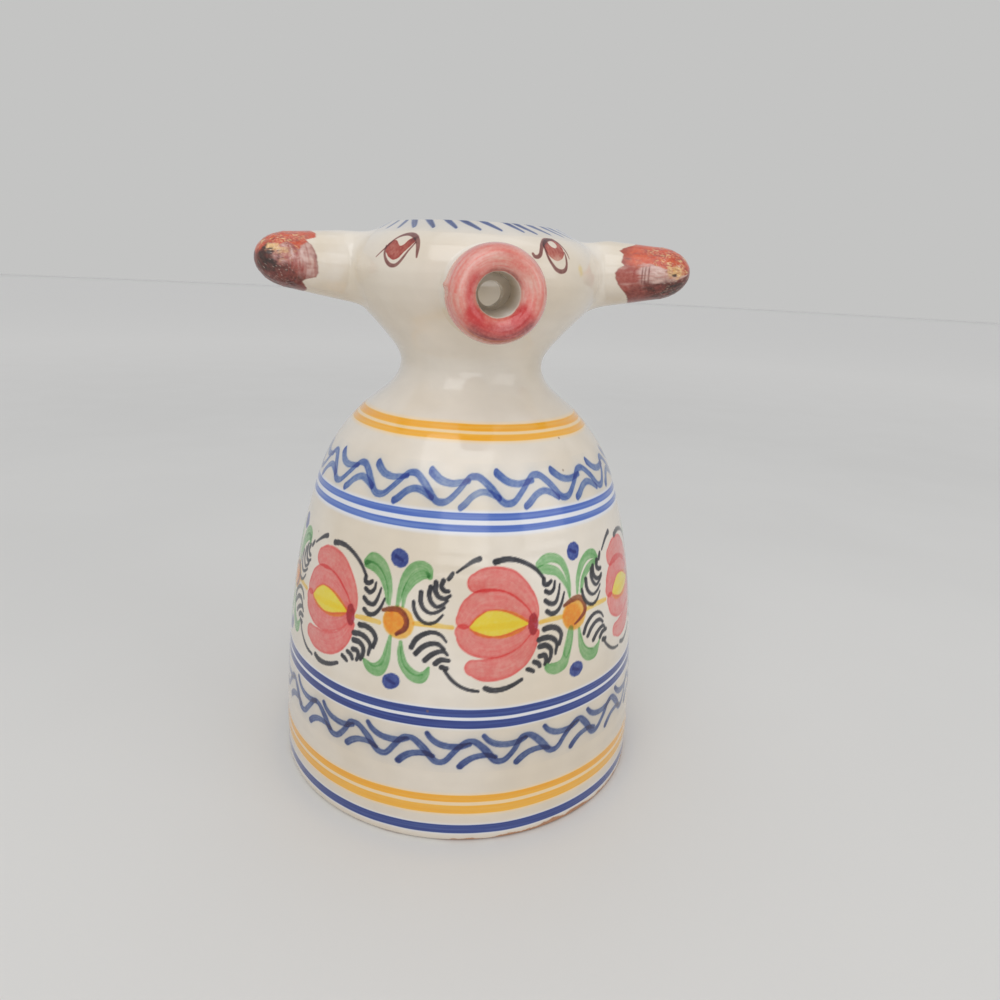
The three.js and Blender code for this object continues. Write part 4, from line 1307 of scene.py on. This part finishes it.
def horn_film(distances, angle, side, colours):
    """The washes over the horn, laid tone on tone, with a pale painted sheen along the band between the
    orange and the brown.
    """
    d, a, p, q = laid_flat(distances, angle)
    turn, reach = np.array(HORN_EDGE[side > 0], float).T
    turn, reach = np.radians(np.concatenate([turn - 360, turn, turn + 360])), np.tile(reach, 3)
    edge = np.interp(a, turn, reach) + 0.35 * grain(a * 14, 0, 3)
    zones = np.array(HORN_ZONES[side > 0], float).T
    above, below = (np.radians(np.interp(d, zones[0], v)) for v in zones[1:])
    mottle = grain(p / 3.4, q / 3.4, 6) + 0.6 * grain(p / 1.5, q / 1.5, 2)
    fine = grain(p / 0.75, q / 0.75, 9)
    if side < 0:
        hairs = grain(d / 1.3 + a, a * 2.2, 2) + 0.8 * grain(d / 0.6 + 2 * a, a * 3, 4)
    else:
        hairs = grain(a * 9, d / 6, 2) + 0.8 * grain(a * 20, d / 3.5, 4)
    hairs = hairs * smooth(d, 3, 9)
    wave = a + 0.25 * mottle
    orange = over(wave - above, 0.16) * over(2.6 - wave, 0.4)
    brown = np.maximum(over(below - wave, 0.3), over(wave - 2.4, 0.4))
    names = ("horn", "horn_thin", "horn_mid", "horn_shade", "horn_tip", "crust")
    top, pale, brick, shade, dark, crust = (linear(getattr(colours, name)) for name in names)
    red = blend(top, brick, 0.15 + 0.9 * mottle + 0.5 * fine)
    red = blend(red, shade, 0.5 * smooth(mottle, 0.3, 0.7) + 0.6 * smooth(d, 20, 27))
    flakes = smooth(grain(p / 0.8, q / 0.8, 5) + 0.3 * mottle, 0.24, 0.42)
    red = blend(red, crust, 0.75 * flakes * smooth(22 - d, 0, 12))
    # Painted sheen: the band between the orange and the brown is paled towards pink, strongly near the tip of
    # the left horn and more faintly on the right horn.
    painted_sheen = 1 - smooth(d, 15, 20) if side > 0 else 0.5 - 0.4 * smooth(d, 14, 22)
    thin = blend(brick, pale, painted_sheen - 0.9 * hairs - 0.35 * mottle)
    thin = blend(thin, shade, 0.25 + 0.6 * mottle) if side < 0 else thin
    thick = blend(shade, dark, 0.2 + 0.9 * mottle + 0.8 * fine)
    thick = blend(thick, brick, 0.5 * smooth(d, 13, 19) + 0.5 * smooth(hairs, 0.2, 0.6))
    tone = blend(blend(thin, red, orange), thick, brown)
    if side > 0:
        strokes = sum(np.exp(-(((d - at + 0.8 * a) / 0.3) ** 2)) for at in (13.9, 15.4, 16.6))
        tone = blend(tone, shade, 0.85 * strokes * smooth(0.42 - np.abs(a + 0.1), 0, 0.2) * (1 - orange))
    tips, haze, crusted, holes = (horn_patch(n, p, q, side) for n in range(4))
    specks = smooth(ruffle(p / 0.5, q / 0.5, 5), 0.86, 0.95) * smooth(14 - d, 0, 6)
    for layer, amount in (
        (blend(brick, crust, 0.4 + 0.8 * mottle + 0.6 * fine), 0.65 * haze),
        (blend(dark, shade, 0.2 + 0.9 * fine - 0.6 * mottle), tips),
        (shade, 0.5 * np.exp(-np.maximum(edge - d, 0) / 0.5) * (1 - orange)),
        (blend(crust, brick, 0.05 + 1.1 * fine - 0.5 * mottle), 0.95 * crusted),
        (dark, 0.95 * holes),
        (linear(PALE_SPECK), 0.6 * specks),
    ):
        tone = blend(tone, layer, amount)
    return film_over(tone, over(edge - d, 0.7))


def lute_horn(context, side, name, node):
    height, forward = millimetres("horn_height", "horn_forward")
    height += side
    reach = abs(HORN_TIPS[side > 0]) * 1000 - 0.5
    start, bend = np.array([0, 5.0, height]), np.array([side * reach / 2, 5.0, height])
    tip = np.array([side * reach, -forward, height + 2.7])
    t = np.linspace(0, 1, 800)[:, None]
    line = (1 - t) ** 2 * start + 2 * t * (1 - t) * bend + t**2 * tip
    run = along(line)
    angle = turns(240)

    def middle(at):
        return np.array([np.interp(at, run, c) for c in line.T])

    def ring(from_tip, radius):
        at = run[-1] - from_tip
        way = unit(middle(min(at + 0.5, run[-1])) - middle(at - 0.5))
        front = unit(side * np.cross(way, (0, 0, 1.0)))
        up = side * np.cross(front, way)
        up *= np.sign(up[2])
        return middle(at) + radius * (np.cos(angle)[:, None] * front + np.sin(angle)[:, None] * up)

    def thick(d):
        return (8.3 + 0.14 * d) * (1 - (1 - np.minimum(d / 12.5, 1)) ** 2.4) ** 0.5

    blunt = HORN_BLUNT * np.cos(np.radians(np.linspace(0, 88, 46)[1:]))
    distances = np.concatenate([np.arange(HORN_FROM_TIP, HORN_BLUNT, -0.35), blunt])
    distances = np.unique(np.maximum(distances, 0.06))[::-1]
    outer = np.array([ring(d, thick(d)) for d in distances])
    inward, leaving = (-side, 0, 0), unit(outer[1] - outer[0])
    root = luted(outer[0], inward, 5.6, steps=26, highest=230.9, fullness=0.9, leaving=leaving)
    deepest = HORN_FROM_TIP + 4
    hollow = np.array([ring(d, max(thick(d) - HORN_WALL, 0.2)) for d in np.linspace(5, deepest, 16)])
    back = on_wall(*footprint(ring(deepest, thick(HORN_FROM_TIP) - HORN_WALL), inward), -2.6)
    rings = np.vstack([hollow, back[None], root, outer])
    rings[-len(outer):] += horn_crust(outer, distances, angle, side)
    film = np.ones(rings.shape)
    film[-len(outer):] = horn_film(distances, angle, side, context.scene.pitcher_colours)
    glaze = material("horn_oxide_glaze", horn_glaze)
    horn = shell(name, rings, (ring(4.9, 0).mean(0), line[-1]), film=film, material=glaze)
    hand_over(horn, "horn_glaze", node)


class PITCHER_OT_lute_horns(bpy.types.Operator):
    """Lutes a hollow horn to each side of the head and paints its tip"""

    bl_idname = "pitcher.lute_horns"
    bl_label = "Lute the horns"

    def execute(self, context):
        for side, word in ((-1, "right"), (1, "left")):
            lute_horn(context, side, f"horn_{word}_painted", f"horn_{word}")
        return {"FINISHED"}


def horn_glaze(name):
    """Red and brown oxide, thick and crusted at the tip."""
    mix = Recipe(name)
    fine = mix.noise(700, 4)
    film, base = mix.painted(mix.pooled(mix.noise(60, 3), 0.35, 0.7), fine, 0.8, 1.2)
    on_horn = mix.ramp(mix.add("SeparateXYZ", film, out="Y"), 0.25, 0.6, 1, 0)
    flecks = mix.ramp(mix.noise(520, 4, shift=(0.5, 0, 0.1)), 0.62, 0.72)
    base = mix.mix(mix.times(flecks, on_horn, 0.2), base, linear(rgb(HORN_FLECK)))
    roughness = mix.math("MULTIPLY_ADD", on_horn, 0.16, 0.12)
    relief = mix.plus(mix.times(mix.noise(90, 2), 0.6), mix.times(fine, on_horn, 0.35))
    return mix.surface(base, roughness, relief, coat=0.3)


HANDLE_TOP, HANDLE_FOOT = 220.0, 146.0  # heights at which the strap meets the head and the shoulder


class PITCHER_OT_pull_handle(bpy.types.Operator):
    """Pulls the strap handle and presses its ends on to the head and the shoulder"""

    bl_idname = "pitcher.pull_handle"
    bl_label = "Pull the handle"

    def execute(self, context):
        reach, wide, thick = millimetres("strap_reach", "strap_width", "strap_thickness")
        top, foot = HANDLE_TOP, HANDLE_FOOT
        crest = top + 5
        middle = (crest + foot) / 2
        knots = [
            (radius_at(top) - 9, top), (radius_at(top) - 9 + thick * 1.9, crest),
            (reach - thick * 0.5, crest - thick), (reach, middle + thick * 0.4),
            (reach - thick, foot + thick * 1.2), (radius_at(foot) - 9, foot - thick * 0.2),
        ]
        line = softened(even(curve_through(knots, 60), 0.5), 8)
        run = along(line) / along(line)[-1]
        clear = np.flatnonzero(line[:, 0] - radius_at(line[:, 1]) > 9.0)
        line, run = (v[clear[0] : clear[-1] + 1] for v in (line, run))
        way = unit(np.gradient(line, axis=0))
        angle = turns(128)
        across, through = (np.sign(v) * np.abs(v) ** 0.82 for v in (np.cos(angle), np.sin(angle)))
        rings = []
        for (y, z), (dy, dz), t in zip(line[::2], way[::2], run[::2]):
            flare = abs(2 * t - 1) ** 4
            width = wide + flare * ((31 if t > 0.5 else 28) - wide)
            depth = thick + flare * (13 - thick)
            groove = np.where(np.sin(angle) < 0, 1.4 * np.sin(angle) ** 6 * (1 - flare), 0)
            wave = 0.35 * np.sin(5 * t + 1) + 0.25 * np.sin(11 * t)
            deep = (depth / 2) * through + groove + 0.14 * grain(angle * 2, t * 24, 3)
            rings.append(np.column_stack([(width / 2) * across + wave, y + dz * deep, z - dy * deep]))
        up = luted(rings[0], (0, *-way[0]), 4.0, steps=16, highest=232.0)
        down = luted(rings[-1], (0, *way[-1]), 4.5, steps=16)
        rings = np.vstack([up, rings, down[::-1]])
        poles, glaze = (rings[0].mean(0), rings[-1].mean(0)), material("tin_glaze_plain", tin_glaze)
        handle = shell("handle_glazed", rings, poles, film=np.ones(rings.shape), material=glaze)
        hand_over(handle, "tin_glaze", "handle_strap")
        return {"FINISHED"}


# ---------------------------------------------------------------- stage


CAMERA = dict(position=(-36.1, -306.98, 213.07), yaw=9.57, pitch=17.24, roll=2.83)
# Name, place, height it points at, width and height, all in metres, lamp of the panel, part of its power.
LAMPS = (
    ("overhead_softbox", (-0.35, -0.95, 1.4), 0.15, (1.4, 1.2), "key", 0.84),
    ("low_softbox", (-0.12, -1.0, 0.46), 0.17, (0.6, 0.45), "key", 0.11),
    ("side_softbox", (1.1, -0.9, 0.7), 0.14, (0.9, 0.9), "fill", 1),
    ("top_softbox", (0.05, 0.1, 1.5), 0.15, (1.0, 1.0), "key", 0.14),
)


def placed(thing, right, up, back, position):
    """Puts a lamp or a camera in the scene, looking away from its back."""
    bpy.context.scene.collection.objects.link(thing)
    m = np.eye(4)
    m[:3] = np.column_stack([right, up, back, position])
    thing.matrix_world = Matrix(m.tolist())
    return thing


def looking(position, yaw, pitch, roll):
    """Right, up, back and place of a camera, turned from +Y towards +X, downwards and about its axis."""
    yaw, pitch, roll = np.radians((yaw, pitch, roll))
    ahead = np.array([math.sin(yaw) * math.cos(pitch), math.cos(yaw) * math.cos(pitch), -math.sin(pitch)])
    right = np.array([math.cos(yaw), -math.sin(yaw), 0])
    up = np.cross(right, ahead)
    side = math.cos(roll) * right + math.sin(roll) * up
    top = -math.sin(roll) * right + math.cos(roll) * up
    return side, top, -ahead, np.array(position) / 1000


def lamp(name, position, target, size, power):
    data = bpy.data.lights.new(name, "AREA")
    data.shape, data.size, data.size_y = "RECTANGLE", *size
    data.energy = power
    back = unit(np.array(position, float) - (0, 0, target))
    right = unit(np.cross((0, 0, 1.0), back))
    placed(bpy.data.objects.new(name, data), right, np.cross(back, right), back, position)


def light_the_air(tree, stage):
    """Even light all round, and a plain pale backdrop where the camera looks past the floor."""
    tree.nodes.clear()
    kinds = ("Background", "Background", "LightPath", "MixShader", "OutputWorld")
    light, backdrop, ray, mixed, out = (tree.nodes.new("ShaderNode" + kind) for kind in kinds)
    light.inputs["Color"].default_value = (0.95, 0.97, 1.0, 1)
    light.inputs["Strength"].default_value = stage.sky
    backdrop.inputs["Color"].default_value = (*linear(stage.backdrop), 1)
    tree.links.new(ray.outputs["Is Camera Ray"], mixed.inputs[0])
    tree.links.new(light.outputs[0], mixed.inputs[1])
    tree.links.new(backdrop.outputs[0], mixed.inputs[2])
    tree.links.new(mixed.outputs[0], out.inputs["Surface"])


class PITCHER_OT_set_stage(bpy.types.Operator):
    """Lays the studio floor, hangs the lamps and places the camera"""

    bl_idname = "pitcher.set_stage"
    bl_label = "Set the stage"

    def execute(self, context):
        scene, stage = context.scene, context.scene.pitcher_stage
        radii = np.concatenate([np.linspace(0.05, 1, 12), np.geomspace(1.2, 12, 10)]) * 1000
        turn = turns(96)
        disc = np.stack([np.stack([r * np.cos(turn), r * np.sin(turn), np.zeros(96)], -1) for r in radii])
        floor = shell("studio_floor", np.vstack([disc, disc[::-1] - (0, 0, 3)]), ((0, 0, 0), (0, 0, -3)),
                      material=material("studio_floor", floor_paint))
        scene.world = bpy.data.worlds.new("studio_light")
        scene.world.use_nodes = True
        light_the_air(scene.world.node_tree, stage)
        for name, position, target, size, source, share in LAMPS:
            lamp(name, position, target, size, share * getattr(stage, source))
        data = bpy.data.cameras.new("camera")
        data.lens, data.sensor_width, data.sensor_fit = stage.lens * 1000, 36, "HORIZONTAL"
        data.clip_start, data.clip_end = 0.01, 100
        scene.camera = placed(bpy.data.objects.new("camera", data), *looking(**CAMERA))
        scene.view_settings.view_transform = "Standard"
        return {"FINISHED"}


def floor_paint(name):
    """Smooth matt paint, a little uneven from the roller."""
    mix, stage = Recipe(name), bpy.context.scene.pitcher_stage
    tone = linear(stage.floor)
    base = mix.mix(mix.ramp(mix.noise(3, 3), 0.3, 0.7), tone, tone * 0.965)
    away = mix.add("VectorMath", mix.place, operation="LENGTH", out="Value")
    base = mix.mix(mix.ramp(away, 0.35, 2.2), base, linear(stage.floor_far))
    roughness = mix.ramp(mix.noise(12, 3), 0.3, 0.7, 0.5, 0.62, "LINEAR")
    return mix.surface(base, roughness, mix.noise(900, 2), coat=0, strength=0.05)


class PITCHER_PT_panel(bpy.types.Panel):
    """Steps and settings of the pitcher"""

    bl_idname = "PITCHER_PT_panel"
    bl_label = "Bull-shaped pitcher"
    bl_space_type = "VIEW_3D"
    bl_region_type = "UI"
    bl_category = "Pitcher"

    def draw(self, context):
        for step in STEPS:
            self.layout.operator(step.bl_idname)
        scene = context.scene
        for group in (scene.pitcher_sizes, scene.pitcher_colours, scene.pitcher_stage):
            column = self.layout.column(align=True)
            for name in group.__annotations__:
                column.prop(group, name)


STEPS = (
    PITCHER_OT_throw_bell, PITCHER_OT_paint_bell, PITCHER_OT_throw_head, PITCHER_OT_paint_head,
    PITCHER_OT_lute_snout, PITCHER_OT_lute_horns, PITCHER_OT_pull_handle, PITCHER_OT_set_stage,
)
CLASSES = (PitcherSizes, PitcherColours, PitcherStage, *STEPS, PITCHER_PT_panel)


def register():
    for kind in CLASSES:
        bpy.utils.register_class(kind)
    bpy.types.Scene.pitcher_sizes = PointerProperty(type=PitcherSizes)
    bpy.types.Scene.pitcher_colours = PointerProperty(type=PitcherColours)
    bpy.types.Scene.pitcher_stage = PointerProperty(type=PitcherStage)


def unregister():
    for name in ("pitcher_sizes", "pitcher_colours", "pitcher_stage"):
        delattr(bpy.types.Scene, name)
    for kind in reversed(CLASSES):
        bpy.utils.unregister_class(kind)


def main():
    register()
    bpy.ops.pitcher.throw_bell()
    bpy.ops.pitcher.paint_bell()
    bpy.ops.pitcher.throw_head()
    bpy.ops.pitcher.paint_head()
    bpy.ops.pitcher.lute_snout()
    bpy.ops.pitcher.lute_horns()
    bpy.ops.pitcher.pull_handle()
    bpy.ops.pitcher.set_stage()


if __name__ == "__main__":
    main()
